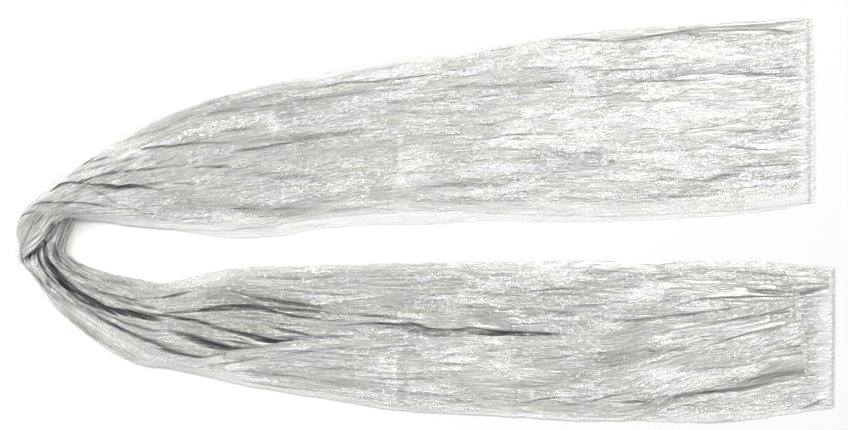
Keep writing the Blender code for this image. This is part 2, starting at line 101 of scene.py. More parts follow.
# A fold is its line, half width, depth, and its kind where that isn't a plain valley.
# ridge: a raised line. lap: cloth on the left of the line lies over the right.
# wedge: a sharp edge on the left, and a hollow on the right that fades out slowly.
# Besides the relief, each fold paints shade into the shade it returns: in its valley, just past a lap's edge,
# and in a wedge's hollow.
def pressFolds(x, y, folds):
    height = np.zeros(x.shape)
    shade = np.zeros(x.shape)
    for points, halfWidth, depth, *kind in folds:
        line = smoothLine(points)
        reach = 4.5 * halfWidth
        low, high = line.min(axis=0) - reach, line.max(axis=0) + reach
        near = (x > low[0]) & (x < high[0]) & (y > low[1]) & (y < high[1])
        if not near.any():
            continue
        distance, along, side = nearLine(x[near], y[near], line)
        taper = np.sin(np.pi * np.clip(0.04 + 0.92 * along, 0, 1)) ** 0.6
        d = distance / (halfWidth * (0.35 + 0.65 * taper))
        left = side > 0
        if "lap" in kind:
            over = bell(d, 2.6)
            under = np.clip(1 - 2.2 * d, 0, 1) - 0.75 * bell(d - 0.7, 0.8)
            height[near] += depth * taper * np.where(left, over, under)
            dark = bell(distance, np.where(left, 0.7, 1.0))
            shade[near] += taper * dark * min(1.0, 0.45 + 0.2 * depth)
        elif "wedge" in kind:
            over = 0.3 * bell(d - 0.5, 0.7)
            under = -np.clip(d / 0.3, 0, 1) * bell(d, 1.9)
            height[near] += depth * taper * np.where(left, over, under)
            dark = np.where(left, np.exp(-(3.5 * d) ** 2), bell(d, 1.3))
            shade[near] += taper * dark * min(1.0, 0.3 + 0.17 * depth)
        elif "ridge" in kind:
            height[near] += depth * taper * np.exp(-1.6 * d * d)
        else:
            height[near] -= depth * taper * np.exp(-1.6 * d * d)
            shade[near] += np.sqrt(taper) * np.exp(-1.6 * d ** 4) * min(1.0, 0.3 + 0.17 * depth)
    return height, np.clip(shade, 0, 1)


def patchTone(x, y, patches):
    # how strongly the soft-edged places of a list act on each point
    paintedLightAndShade = np.zeros(x.shape)
    for cx, cy, halfLong, halfWide, turn, amount in patches:
        c, s = math.cos(math.radians(turn)), math.sin(math.radians(turn))
        a = ((x - cx) * c + (y - cy) * s) / halfLong
        b = (-(x - cx) * s + (y - cy) * c) / halfWide
        paintedLightAndShade += amount * np.exp(-(a ** 4 + b ** 4))
    return paintedLightAndShade


def spacedRows(table, rows):
    # rows along the cloth, twice as close where it is narrow
    places = np.linspace(0, len(table) - 1, 40 * len(table))
    section = spline(table, places)
    steps = np.hypot(*np.diff((section[:, 0:2] + section[:, 2:4]) / 2, axis=0).T)
    run = np.concatenate([[0], np.cumsum(steps)])
    width = np.hypot(*(section[1:, 0:2] - section[1:, 2:4]).T)
    closeness = np.clip(2.8 - 1.8 * width / np.median(width), 1, 2.2)
    close = np.concatenate([[0], np.cumsum(steps * closeness)])
    wanted = np.interp(np.linspace(0, close[-1], rows), close, places)
    return wanted, np.interp(wanted, places, run)


def gridMesh(name, rows, columns):
    # a flat grid whose corners are numbered row by row, as i and j
    bm = bmesh.new()
    bmesh.ops.create_grid(bm, x_segments=rows - 1, y_segments=columns - 1, size=0.5)
    uvLayer = bm.loops.layers.uv.new("cloth")
    for edge in bm.edges:
        edge.smooth = not edge.is_boundary
    for face in bm.faces:
        face.smooth = True
        for loop in face.loops:
            loop[uvLayer].uv = (loop.vert.co.x + 0.5, loop.vert.co.y + 0.5)
    mesh = bpy.data.meshes.new(name)
    bm.to_mesh(mesh)
    bm.free()
    flat = np.empty(len(mesh.vertices) * 3)
    mesh.vertices.foreach_get("co", flat)
    flat = flat.reshape(-1, 3)
    i = np.rint((flat[:, 0] + 0.5) * (rows - 1)).astype(int)
    j = np.rint((flat[:, 1] + 0.5) * (columns - 1)).astype(int)
    return mesh, i, j


def paintPoints(mesh, layers):
    # attributes that the cloth's finish reads
    for label, values in layers.items():
        layer = mesh.attributes.new(label, "FLOAT", "POINT")
        layer.data.foreach_set("value", values)


def addPiece(mesh, material, thickness):
    piece = bpy.data.objects.new(mesh.name, mesh)
    bpy.context.scene.collection.objects.link(piece)
    mesh.materials.append(material)
    if thickness:
        wall = piece.modifiers.new("thickness", "SOLIDIFY")
        wall.thickness = thickness * millimetre
        wall.offset = -1
        wall.use_even_offset = False
    return piece


def tuckUnder(points, covers):
    # lowers the points that would stand through a layer above them
    gap, lowest = 0.9 * millimetre, 0.2 * millimetre
    aboveAll = 60 * millimetre
    down = Vector((0, 0, -1))
    for cover in covers:
        corners = [v.co for v in cover.data.vertices]
        tree = BVHTree.FromPolygons(corners, [p.vertices for p in cover.data.polygons])
        for point in points:
            hit = tree.ray_cast(Vector((point[0], point[1], aboveAll)), down)[0]
            if hit and point[2] > hit.z - gap:
                point[2] = max(hit.z - gap, lowest)


# Noise that makes the crinkle: length and width of its features, and what is added to the seed.
crinkleSizes = {
    "edgeWave": (9, 50, 0.5),
    "longEdgeWave": (27, 50, 4.5),
    "warp": (120, 45, 1.5),
    "blotch": (60, 15, 2.5),
    "smallBlotch": (24, 6, 8.5),
    "swell": (120, 15, 3.5),
    "middle": (46, 6.5, 5.5),
    "fine": (17, 2.8, 6.5),
    "pleat": (95, 11, 9.5),
    "strand": (90, 36, 10.5),
    "smallPleat": (48, 5, 11.5),
    "smallStrand": (60, 17, 12.5),
}
# What a sheet's settings leave out.
plainSheet = {"veils": [], "calm": [], "fibrous": 0.6, "folds": [], "patches": []}


def makeCloth(name, settings, material, covers=()):
    settings = {**plainSheet, **settings}
    table = np.array(settings["sections"], float)
    rows, columns, spread = settings["rows"], settings["columns"], settings["spread"]
    places, run = spacedRows(table, rows)
    section = spline(table, places)
    t = np.linspace(0, 1, columns)[None, :]  # across the cloth, from its outer edge
    u = np.repeat(run[:, None], columns, axis=1)
    v = t * spread + 0 * u
    outer, inner = section[:, None, 0:2], section[:, None, 2:4]
    span = inner - outer
    width = np.hypot(span[..., 0], span[..., 1])
    toEdge = np.minimum(t, 1 - t) * width

    def crinkleNoise(label, across):
        long, wide, shift = crinkleSizes[label]
        return streaks(u, across, long, wide, settings["seed"] + shift)

    # small waves along both edges
    wave = crinkleNoise("edgeWave", v * 0) + 0.8 * crinkleNoise("longEdgeWave", v * 0)
    weight = t ** 14 - (1 - t) ** 14
    shifted = t + settings["edgeRipple"] * wave * weight / width
    x = outer[..., 0] + span[..., 0] * shifted
    y = outer[..., 1] + span[..., 1] * shifted

    # rounded section, with its edges let down
    outerZ, crown, innerZ, flatness = (section[:, k][:, None] for k in (4, 5, 6, 7))
    z = outerZ * (1 - t) + innerZ * t + crown * (1 - np.abs(2 * t - 1) ** flatness)

    # how tightly the cloth is gathered, and where it is crushed instead of smooth
    vv = v + 2.0 * crinkleNoise("warp", v)
    squeeze = spread / width - 1
    gather = np.clip(squeeze / 2.2, 0, 1) * settings["gather"]
    tight = np.clip((squeeze - 1.6) / 1.6, 0, 1)
    # painted light and shade from the patches, which also raises the crush where it brightens
    paintedLightAndShade = patchTone(x, y, settings["patches"])
    calm = np.clip(patchTone(x, y, settings["calm"]), 0, 1)
    mottle = 0.6 * crinkleNoise("blotch", vv) + 0.45 * crinkleNoise("smallBlotch", vv)
    crush = np.clip(settings["crush"] + 2.0 * mottle + 0.35 * paintedLightAndShade, 0, 1) * (1 - 0.8 * calm)

    # long soft swells everywhere, pleats where it is crushed, and strands where it is gathered
    swell = crinkleNoise("swell", vv)
    middle = crinkleNoise("middle", vv)
    broad = crinkleNoise("pleat", vv) * (1 - tight) + crinkleNoise("strand", vv) * tight
    narrow = crinkleNoise("smallPleat", vv) * (1 - tight) + crinkleNoise("smallStrand", vv) * tight
    strands = (0.8 * pleated(broad) + 0.55 * pleated(narrow)) * (1 - 0.75 * calm)
    rough = pleated(middle) * 0.38 + crinkleNoise("fine", vv) * 0.4
    crushed = (0.12 + 0.8 * crush) * rough * (1 - 0.7 * gather)
    edges = np.clip(toEdge / 6.0, 0.25, 1)
    crinkle = settings["crinkle"] * edges * (0.7 * swell + crushed + 2.0 * gather * strands)

    # painted shade in the folds, strand valleys, creases and swell troughs, painted light on the swells and
    # strand crests, and where the finish is crushed, fibrous or sheer
    folds, shade = pressFolds(x, y, settings["folds"])
    strandValleyShade = bell(broad, 0.035) + 0.7 * bell(narrow, 0.04)
    creases = bell(middle, 0.03) * np.clip(mottle * 4, 0, 1)
    shade = shade + (gather * 0.6 * strandValleyShade + 0.3 * creases) * (1 - 0.85 * calm)
    shade = np.clip(shade + 0.25 * np.clip(-swell - 0.05, 0, 1), 0, 1)
    paintedLightAndShade = paintedLightAndShade + 0.7 * swell + gather * 1.5 * pleated(broad) * (1 - 0.8 * calm)
    sheer = bell(toEdge, settings["sheerReach"])
    sheer = sheer * np.where(t < 0.5, settings["sheer"], settings["sheerInside"]) * (1 - 0.8 * gather)
    sheer = np.clip(np.maximum(sheer, patchTone(x, y, settings["veils"])), 0, 1)
    gather = np.maximum(gather, settings["fibrous"] * calm)
    z = z + crinkle + folds
    z = np.maximum(z, settings["floor"] + 0.12 * np.clip(crinkle, 0, None))

    mesh, i, j = gridMesh(name, rows, columns)
    points = np.stack([x, y, z], axis=-1)[i, j] * millimetre
    tuckUnder(points, covers)
    mesh.vertices.foreach_set("co", points.ravel())
    layers = {"shade": shade, "paintedLightAndShade": paintedLightAndShade, "crush": crush, "gather": gather, "sheer": sheer}
    paintPoints(mesh, {label: values[i, j].ravel() for label, values in layers.items()})
    uv = np.empty(len(mesh.loops) * 2)
    mesh.uv_layers["cloth"].data.foreach_get("uv", uv)
    uv = uv.reshape(-1, 2) * (run[-1] * millimetre, spread * millimetre)
    mesh.uv_layers["cloth"].data.foreach_set("uv", uv.ravel())
    mesh.update()
    piece = addPiece(mesh, material, settings["thickness"])
    print("made", name, len(mesh.polygons), "faces")
    return piece


# The silver cloth's colours, with the dark colour its painted shade goes to, and the noise of its yarn:
# features to the metre along and across the cloth, their detail, and where the noise starts.
silver = {
    "dark": (0.37, 0.37, 0.36, 1),
    "bright": (0.92, 0.92, 0.905, 1),
    "coolTint": (0.995, 0.997, 1.0, 1.0),
    "warmTint": (1.0, 1.0, 0.955, 1.0),
    "paintedShadeColor": (0.055, 0.062, 0.062, 1.0),
    "sheerColor": (0.79, 0.79, 0.78, 1.0),
    "metallic": 0.72,
    "metallicLostWhereSheer": 0.66,
    "relief": 1.2 * millimetre,
    "loosePleats": (30, 230, 3, 3.1),
    "tightPleats": (26, 110, 3, 13.7),
    "fibres": (24, 300, 3, 17.3),
    "threads": (110, 800, 2, 7.7),
    "crossings": (420, 170, 2, 11.3),
    "grain": (700, 800, 1, 5.9),
    "tints": (16, 50, 1, 9.2),
    "hairs": (34, 620, 2, 27.9),
    "wrinkles": (26, 150, 2, 21.4),
    "sparks": (200, 420, 2, 31.8),
}


def silverCloth(name, settings, seed):
    material = bpy.data.materials.new(name)
    material.use_nodes = True
    nodes, links = material.node_tree.nodes, material.node_tree.links
    shader = nodes["Principled BSDF"]
    shader.inputs["IOR"].default_value = 1.5

    def add(kind, **values):
        node = nodes.new(kind)
        for key, value in values.items():
            setattr(node, key, value)
        return node

    def feed(socket, value):
        if isinstance(value, (int, float, tuple)):
            socket.default_value = value
        else:
            links.new(value, socket)

    uvMap = add("ShaderNodeUVMap", uv_map="cloth")

    def yarnNoise(label):
        alongScale, acrossScale, detail, shift = settings[label]
        mapping = add("ShaderNodeMapping")
        mapping.inputs["Scale"].default_value = (alongScale, acrossScale, 1)
        mapping.inputs["Location"].default_value = (seed + shift, shift * 1.7, 0)
        links.new(uvMap.outputs["UV"], mapping.inputs["Vector"])
        texture = add("ShaderNodeTexNoise")
        texture.inputs["Scale"].default_value = 1.0
        texture.inputs["Detail"].default_value = detail
        texture.inputs["Roughness"].default_value = 0.6
        links.new(mapping.outputs["Vector"], texture.inputs["Vector"])
        return texture.outputs["Fac"]

    def remap(value, low, high, outLow, outHigh):
        node = add("ShaderNodeMapRange")
        for socket, number in zip(("From Min", "From Max", "To Min", "To Max"), (low, high, outLow, outHigh)):
            node.inputs[socket].default_value = number
        links.new(value, node.inputs["Value"])
        return node.outputs["Result"]

    def combine(operation, *values):
        total = values[0]
        for value in values[1:]:
            node = add("ShaderNodeMath", operation=operation)
            feed(node.inputs[0], total)
            feed(node.inputs[1], value)
            total = node.outputs["Value"]
        return total

    def plus(*values):
        return combine("ADD", *values)

    def minus(a, b):
        return combine("SUBTRACT", a, b)

    def times(a, b):
        return combine("MULTIPLY", a, b)

    def fromMiddle(value):
        return combine("ABSOLUTE", minus(value, 0.5), 0)

    def painted(label):
        return add("ShaderNodeAttribute", attribute_name=label).outputs["Fac"]

    def blend(factor, a, b, style="MIX"):
        node = add("ShaderNodeMix", data_type="RGBA", blend_type=style)
        for socket, value in (("Factor", factor), ("A", a), ("B", b)):
            feed(node.inputs[socket], value)
        return node.outputs["Result"]

    shade, paintedLightAndShade, crush = painted("shade"), painted("paintedLightAndShade"), painted("crush")
    gather, sheer = painted("gather"), painted("sheer")
    loosePleats = times(yarnNoise("loosePleats"), minus(1.0, gather))
    pleats = plus(loosePleats, times(yarnNoise("tightPleats"), gather))
    fibres = yarnNoise("fibres")
    threads = yarnNoise("threads")
    grain = yarnNoise("grain")
    hairs = yarnNoise("hairs")
    sparks = yarnNoise("sparks")
    busy = remap(plus(crush, times(minus(sparks, 0.5), 1.6)), 0.25, 0.85, 0.12, 1.0)

    # crushed places glitter, and the places between them lie smooth
    rough = plus(times(yarnNoise("crossings"), 0.8), times(grain, 0.6), times(threads, 0.6))
    height = plus(times(pleats, 1.2), times(busy, rough), times(fibres, gather), times(hairs, 0.3))
    bump = add("ShaderNodeBump")
    bump.inputs["Strength"].default_value = 1.0
    bump.inputs["Distance"].default_value = settings["relief"]
    links.new(times(height, remap(sheer, 0.0, 1.0, 1.0, 0.35)), bump.inputs["Height"])
    links.new(bump.outputs["Normal"], shader.inputs["Normal"])

    # streaked silver: partly the yarn's own streaks and partly painted sheen along the pleats, with painted
    # glints where it is crushed or gathered, and the painted light and shade carried by the attributes
    streak = plus(
        times(minus(pleats, 0.5), remap(busy, 0.0, 1.0, 0.29, 0.43)),
        0.44,
        times(busy, 0.13),
        times(minus(hairs, 0.5), remap(busy, 0.0, 1.0, 0.44, 0.32)),
        times(minus(grain, 0.5), 0.16),
        times(minus(plus(times(threads, 0.45), times(grain, 0.35)), 0.40), busy),
        times(paintedLightAndShade, 0.07),
        times(remap(sparks, 0.56, 0.66, 0.0, 0.26), combine("MAXIMUM", busy, gather)),
        times(remap(sparks, 0.53, 0.62, -0.04, 0.20), gather),
        times(minus(fibres, 0.5), gather),
    )
    ramp = add("ShaderNodeValToRGB")
    for element, place, shadeOfSilver in zip(ramp.color_ramp.elements, (0.30, 0.70), ("dark", "bright")):
        element.position = place
        element.color = settings[shadeOfSilver]
    links.new(streak, ramp.inputs["Fac"])

    # a little warm where it is smooth
    warmth = minus(remap(yarnNoise("tints"), 0.35, 0.65, 0.2, 1.4), times(busy, 0.6))
    tint = blend(warmth, settings["coolTint"], settings["warmTint"])
    color = blend(1.0, ramp.outputs["Color"], tint, "MULTIPLY")

    # painted shade: thin dark lines where a pleat turns under, and the shade of the folds, mixed toward the
    # painted shade colour
    turned = remap(fromMiddle(yarnNoise("wrinkles")), 0.0, 0.014, 1.3, 0.0)
    turned = times(turned, remap(pleats, 0.40, 0.54, 1.0, 0.0))
    drawn = times(remap(fromMiddle(fibres), 0.0, 0.03, 1.0, 0.0), plus(gather, 0.15))
    valley = times(remap(shade, 0.05, 1.0, 0.0, 0.96), remap(fibres, 0.38, 0.60, 1.10, 0.52))
    darkness = plus(valley, times(plus(turned, drawn), 0.35))
    color = blend(combine("MINIMUM", darkness, 0.94), color, settings["paintedShadeColor"])

    # sheer places take on the colour of what they lie on
    solidness = times(remap(pleats, 0.35, 0.60, 0.84, 1.0), remap(hairs, 0.35, 0.50, 0.72, 1.0))
    veil = times(sheer, solidness)
    color = blend(veil, color, settings["sheerColor"])
    links.new(color, shader.inputs["Base Color"])
    metallic = minus(settings["metallic"], times(veil, settings["metallicLostWhereSheer"]))
    links.new(metallic, shader.inputs["Metallic"])
    gloss = minus(remap(pleats, 0.3, 0.7, 0.42, 0.28), times(busy, 0.05))
    links.new(gloss, shader.inputs["Roughness"])
    return material


def plainFinish(name, color, roughness, metallic):
    material = bpy.data.materials.new(name)
    material.use_nodes = True
    shader = material.node_tree.nodes["Principled BSDF"]
    shader.inputs["Base Color"].default_value = (*color, 1)
    shader.inputs["Roughness"].default_value = roughness
    shader.inputs["Metallic"].default_value = metallic
    return material


clothFinish = silverCloth("silver cloth", silver, 0.0)
underFinish = silverCloth("silver cloth, under layer", silver, 40.0)
threadFinish = plainFinish("silver thread", (0.72, 0.72, 0.71), 0.5, 0.15)
print("finishes made")


# A row of sections: outer x, y, inner x, y, outer height, crown, inner height, flatness.
# spread is the width of the cloth pulled flat, and floor the lowest height its crinkle reaches.
# sheer and sheerInside say how far its outer and inner edges show what is under them.
# Veils, calm and patches are soft-edged places: centre, half sizes, turn in degrees, amount.
# A veil is sheer, a calm place has less crinkle, and a patch is painted light, or painted shade below 0, and
# also raises or lowers the crush.

# the wide upper arm, which gathers to the bend and wraps over it
upperCloth = {
    "sections": [
        (408, 216, 409, 19, 1.5, 1.5, 1.1, 6),
        (350, 212.5, 350, 12, 1.5, 3, 1.1, 6),
        (280, 208, 280, 8, 1.5, 3.6, 1.1, 6),
        (200, 203, 200, 4.5, 1.5, 3.6, 1.1, 6),
        (130, 193.5, 130, 6, 1.5, 3.6, 1.1, 6),
        (60, 180, 60, 9, 1.5, 3.6, 1.1, 6),
        (0, 171, 0, 10, 1.5, 3.6, 1.1, 6),
        (-60, 162, -60, 6.5, 1.5, 3.7, 1.1, 6),
        (-120, 150, -120, 1, 1.6, 3.8, 1.1, 5.5),
        (-180, 141.5, -182, -8.5, 1.8, 4, 1.2, 5),
        (-240, 124.5, -232, -10.5, 2, 5.2, 1.6, 4),
        (-290, 104.5, -272, -9, 2.4, 7, 2, 3.4),
        (-335, 79.5, -312, -5.5, 2.6, 10.4, 2.2, 3),
        (-370, 57.5, -343, -1, 3, 13, 3.2, 2.5),
        (-398, 37.5, -362, 1.5, 3, 14.8, 5.2, 2.4),
        (-415, 23.5, -380, 2.5, 3, 11.3, 12, 2.4),
        (-427.5, 10.5, -394, -5.5, 3, 8.3, 14.2, 2.2),
        (-433.5, -1, -404, -18.5, 3, 6.3, 13.8, 2),
        (-434.5, -12, -415, -29.5, 3, 4.3, 11.8, 2),
        (-432.5, -23.5, -428.2, -39.8, 3, 2.8, 6.8, 2),
    ],
    "rows": 214,
    "columns": 226,
    "spread": 212.0,
    "crinkle": 0.78,
    "edgeRipple": 1.0,
    "thickness": 0.5,
    "floor": 1.0,
    "seed": 3.0,
    "veils": [(120, 12, 220, 9, 0, 0.7), (418, 115, 24, 120, 0, 0.6), (-215, -9, 70, 7, 0, 0.8),
              (-308, -5, 76, 8, -5, 1.0), (385, 19, 40, 10, 0, 1.1)],
    "crush": 0.42,
    "calm": [(-414, -10, 20, 34, 0, 1.0), (-155, 66, 96, 48, 6, 0.6), (10, 85, 60, 30, 0, 0.4)],
    "fibrous": 0.15,
    "sheer": 0.4,
    "sheerInside": 0.75,
    "sheerReach": 8.0,
    "gather": 0.8,
    "folds": [
        # the gathers at the bend
        ([(-365, 41), (-352, 39), (-338, 38.5), (-326, 37), (-308, 38), (-280, 33)], 3, 4.4, "wedge"),
        ([(-300, 38), (-270, 40), (-240, 38)], 1.6, 1.4),
        ([(-368, 40), (-358, 43), (-350, 46), (-335, 50), (-300, 54), (-255, 59)], 1.7, 2.2),
        ([(-397, 32), (-390, 37.5), (-384, 40), (-373, 41), (-363, 39.5)], 1.6, 2.8, "lap"),
        ([(-366, 59), (-358, 64), (-350, 68)], 1.2, 1.6, "lap"),
        ([(-357, 62), (-350, 64.5), (-336, 68)], 1.2, 1.8, "lap"),
        ([(-302, 76), (-292, 78), (-278, 80)], 1.3, 1.6, "lap"),
        ([(-300, 62), (-290, 65), (-272, 68)], 1.3, 1.2),
        ([(-362, 36), (-352, 33), (-340, 27), (-331, 20), (-318, 15)], 1.6, 0.8),
        ([(-322, 17), (-310, 13), (-300, 8), (-290, 6)], 1.4, 0.8),
        ([(-350, 31), (-338, 30), (-320, 26), (-300, 25), (-285, 21)], 1.5, 0.9, "ridge"),
        ([(-433, 3), (-426, 7), (-419, 9), (-408, 9.5)], 1, 1.2, "lap"),
        ([(-419, 14.5), (-413, 18), (-403, 19.5), (-392, 19.5), (-369, 19.5), (-351, 18),
          (-340, 14.5)], 1.1, 1.6, "lap"),
        ([(-424, -1), (-411, 4), (-396, 7)], 6, 0.3),
        ([(-429, -29), (-421, -14), (-414, 0), (-410, 8)], 0.9, 1),
        ([(-427, -29), (-416, -21), (-405, -13)], 0.9, 1.1),
        ([(-424, -32), (-413, -25), (-404, -17)], 0.8, 0.8),
        ([(-418, -10), (-410, -1), (-402, 7)], 0.8, 0.9),
        ([(-405, -7), (-400, 1), (-394, 8)], 0.9, 0.8, "ridge"),
        ([(-400, -12), (-397, -7), (-393, -2)], 2, 3),
        ([(-298, 18), (-280, 15), (-255, 12)], 1.8, 0.9, "ridge"),
        ([(-375, 50), (-350, 57), (-320, 64), (-290, 70)], 1.8, 1.1),
        ([(-350, 76), (-325, 84), (-300, 92), (-270, 100)], 1.7, 0.9),
        # the long creases of the arm
        ([(-308, 76), (-285, 79), (-268, 80), (-240, 83), (-212, 83)], 2.1, 1.8, "lap"),
        ([(-215, 83), (-180, 86), (-130, 90), (-60, 94)], 4.2, 0.7),
        ([(-204, 75), (-175, 78), (-160, 81), (-141, 84)], 2, 2, "lap"),
        ([(-141, 84), (-125, 86), (-108, 88)], 2.4, 0.8),
        ([(-246, 56), (-232, 57), (-215, 57), (-195, 55)], 1.5, 2.4),
        ([(-195, 47), (-180, 50), (-145, 48), (-100, 42)], 5, 1),
        ([(-100, 93), (-85, 93), (-70, 97), (-35, 97)], 1.6, 0.9),
        ([(-125, 100), (-105, 101)], 1.4, 0.7),
        ([(-142, 140), (-100, 144), (-90, 147), (-50, 149), (0, 155), (22, 157)], 1.9, 1.2, "lap"),
        ([(-130, 128), (-90, 134), (-50, 138), (-15, 141)], 1.9, 1),
        ([(-235, 112), (-215, 117), (-195, 118)], 1.7, 1),
        ([(-210, 119), (-170, 122), (-150, 125)], 1.7, 1),
        ([(-240, 122), (-225, 126), (-205, 131)], 1.5, 0.8),
        ([(-222, 94), (-205, 96), (-178, 99)], 1.6, 0.9),
        ([(-206, 12), (-190, 13), (-172, 11)], 1.3, 1.3),
        ([(-190, 4), (-160, 4), (-126, 7)], 1.3, 0.8),
        ([(-165, 11), (-150, 12.5), (-132, 13)], 1.3, 1.3),
        ([(-120, 20), (-110, 20), (-98, 19)], 1.3, 1.3),
        ([(-112, 10), (-90, 11), (-66, 13)], 1.3, 0.9),
        ([(-60, 126), (-20, 126)], 1.6, 0.8),
        ([(-45, 115), (-25, 117), (0, 113), (20, 115)], 1.6, 0.8),
        ([(10, 128), (22, 130)], 1.4, 0.6),
        ([(18, 142), (46, 144)], 1.6, 0.8),
        ([(20, 140), (70, 143), (110, 145), (125, 148), (160, 149), (168, 147)], 2.8, 1),
        ([(45, 132), (85, 134)], 1.5, 0.8),
        ([(15, 105), (25, 102), (35, 101)], 1.5, 0.8),
        ([(48, 103), (70, 103), (88, 107)], 1.6, 1, "lap"),
        ([(43, 87), (60, 87), (75, 89), (95, 92), (162, 93)], 1.6, 1.2, "lap"),
        ([(35, 17), (65, 17)], 1.4, 0.7),
        ([(-30, 18), (0, 13), (15, 12)], 1.6, 0.7),
        ([(-32, 50), (-10, 50)], 1.5, 0.8),
        ([(-25, 25), (0, 33), (20, 37), (90, 37)], 4.8, 0.9),
        ([(70, 181), (90, 184), (108, 187)], 1.6, 0.9, "lap"),
        ([(110, 192), (160, 194), (190, 192), (210, 192), (250, 198), (300, 206), (340, 208), (370, 210),
          (410, 214)], 2, 1.2, "lap"),
        ([(280, 200), (310, 203), (370, 204), (390, 201)], 2, 1.1, "lap"),
        ([(285, 194), (300, 199)], 1.5, 0.8),
        ([(155, 162), (180, 163)], 1.5, 0.9),
        ([(165, 131), (205, 135), (225, 147), (245, 149), (310, 150)], 1.8, 1, "lap"),
        ([(180, 160), (262, 163)], 1.6, 1, "lap"),
        ([(213, 167), (225, 169), (245, 173), (270, 177)], 1.6, 0.9),
        ([(258, 154), (320, 156), (402, 155)], 3.8, 0.9),
        ([(343, 164), (350, 161), (405, 164)], 1.4, 0.8),
        ([(240, 128), (300, 128), (372, 127)], 1.8, 0.7),
        ([(168, 72), (192, 71)], 1.8, 1.1),
        ([(196, 62), (207, 63)], 3.6, 1.3),
        ([(316, 96), (345, 95), (372, 94), (400, 98)], 2.4, 1.4),
        ([(315, 75), (330, 79), (345, 77), (375, 75)], 1.6, 1.1, "lap"),
        ([(360, 66), (380, 68), (412, 70)], 1.5, 0.9),
        ([(330, 58), (355, 58), (412, 60)], 1.6, 1),
        ([(298, 41), (318, 46), (342, 53)], 4.2, 1.4),
        ([(330, 47), (360, 46), (385, 46), (402, 44)], 1.4, 0.9),
        ([(230, 27), (290, 26), (332, 31)], 2.6, 0.9),
        ([(240, 45), (300, 42)], 1.8, 0.8),
        ([(360, 107), (385, 109), (405, 106)], 1.5, 1),
    ],
    "patches": [
        # packaging creases: a strip of painted shade on one side, a painted highlight on the other
        (-240, 65, 1.6, 42, -4, 1.2), (-243, 65, 3.0, 42, -4, -0.6), (-25, 70, 1.5, 22, 0, 1.3),
        (-45, 78, 26, 6, 0, -1.0), (-31, 55, 3.0, 26, 0, -0.9), (-30, 36, 1.5, 16, 0, 1.2),
        (-18, 70, 5.0, 22, 0, -0.2), (208, 180, 1.6, 16, 8, 1.1), (213, 178, 3.5, 14, 8, -0.7),
        # painted light and painted shade over the arm
        (-344, 14, 38, 13, 4, 2.2), (-305, 0, 56, 9, -4, 1.0), (-262, 22, 26, 12, 0, -0.8),
        (-411, 4, 22, 9, 22, -4.2), (-404, -12, 10, 14, 35, -1.2), (-430, -18, 5, 12, 0, 1.4),
        (-42, 35, 15, 14, 0, -1.0), (211, 115, 20, 10, 0, 0.8), (-138, 115, 16, 14, 0, -0.8),
        (-136, 44, 26, 7, 0, 1.0), (-200, 60, 70, 80, 0, -0.1), (-158, 101, 6, 7, 0, 2.2),
        (-92, 36, 12, 8, 0, 1.8), (-77, 61, 8, 3.5, 0, 1.6), (-22, 44, 3.5, 9, 0, 1.8),
        (-92, 100, 48, 30, 0, 0.5), (-212, 37, 40, 11, 0, 0.8), (-285, 75, 24, 10, 10, 0.8),
        (330, 110, 110, 130, 0, 0.75), (80, 90, 150, 120, 0, 0.75), (-350, 56, 50, 11, 28, 1.5),
        (-410, -8, 24, 30, 0, -0.5), (-272, 107, 30, 7, 20, -0.6), (-138, 134, 22, 10, 5, -0.8),
        (-118, 94, 52, 8, 4, 0.9), (-95, 59, 36, 8, 0, 0.5), (-140, 9, 86, 7, -2, -1.0),
        (52, 16, 60, 8, 0, -2.2), (45, 122, 30, 10, 0, -0.8), (12, 86, 34, 8, 0, -0.7),
        (49, 59, 56, 9, 0, 0.3), (140, 105, 40, 8, 0, 0.4), (102, 171, 34, 8, 6, 0.5),
        (167, 175, 32, 10, 0, 1.3), (242, 152, 60, 14, 22, -1.5), (238, 57, 34, 8, 0, -1.6),
        (156, 66, 40, 12, 0, -1.3), (87, 38, 18, 11, 0, -0.8), (35, 73, 20, 8, 0, -0.8),
        (325, 128, 20, 10, 0, 0.7), (300, 34, 44, 8, 6, -1.6), (270, 203, 130, 8, 4, -2.6),
        (392, 206, 26, 9, 0, -2.0), (398, 105, 5, 70, 0, -1.2), (-10, 66, 18, 12, 0, 1.5),
        (-20, 40, 26, 12, 0, 1.0), (-195, -2, 30, 8, 0, 0.9), (-155, 103, 40, 8, 5, 0.8),
        (183, 180, 26, 12, 20, 1.0), (320, 178, 70, 9, 2, 0.7), (300, 120, 70, 12, 0, 0.7),
        (240, 62, 56, 13, 0, 0.9), (350, 30, 54, 14, 0, 1.3), (350, 155, 54, 3.5, 0, -0.9),
        (0, 130, 60, 10, 4, -0.5), (-130, 120, 40, 9, 6, -0.4),
    ],
}
upper = makeCloth("upperCloth", upperCloth, clothFinish)
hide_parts("upper_panel")
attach(upper, "root")

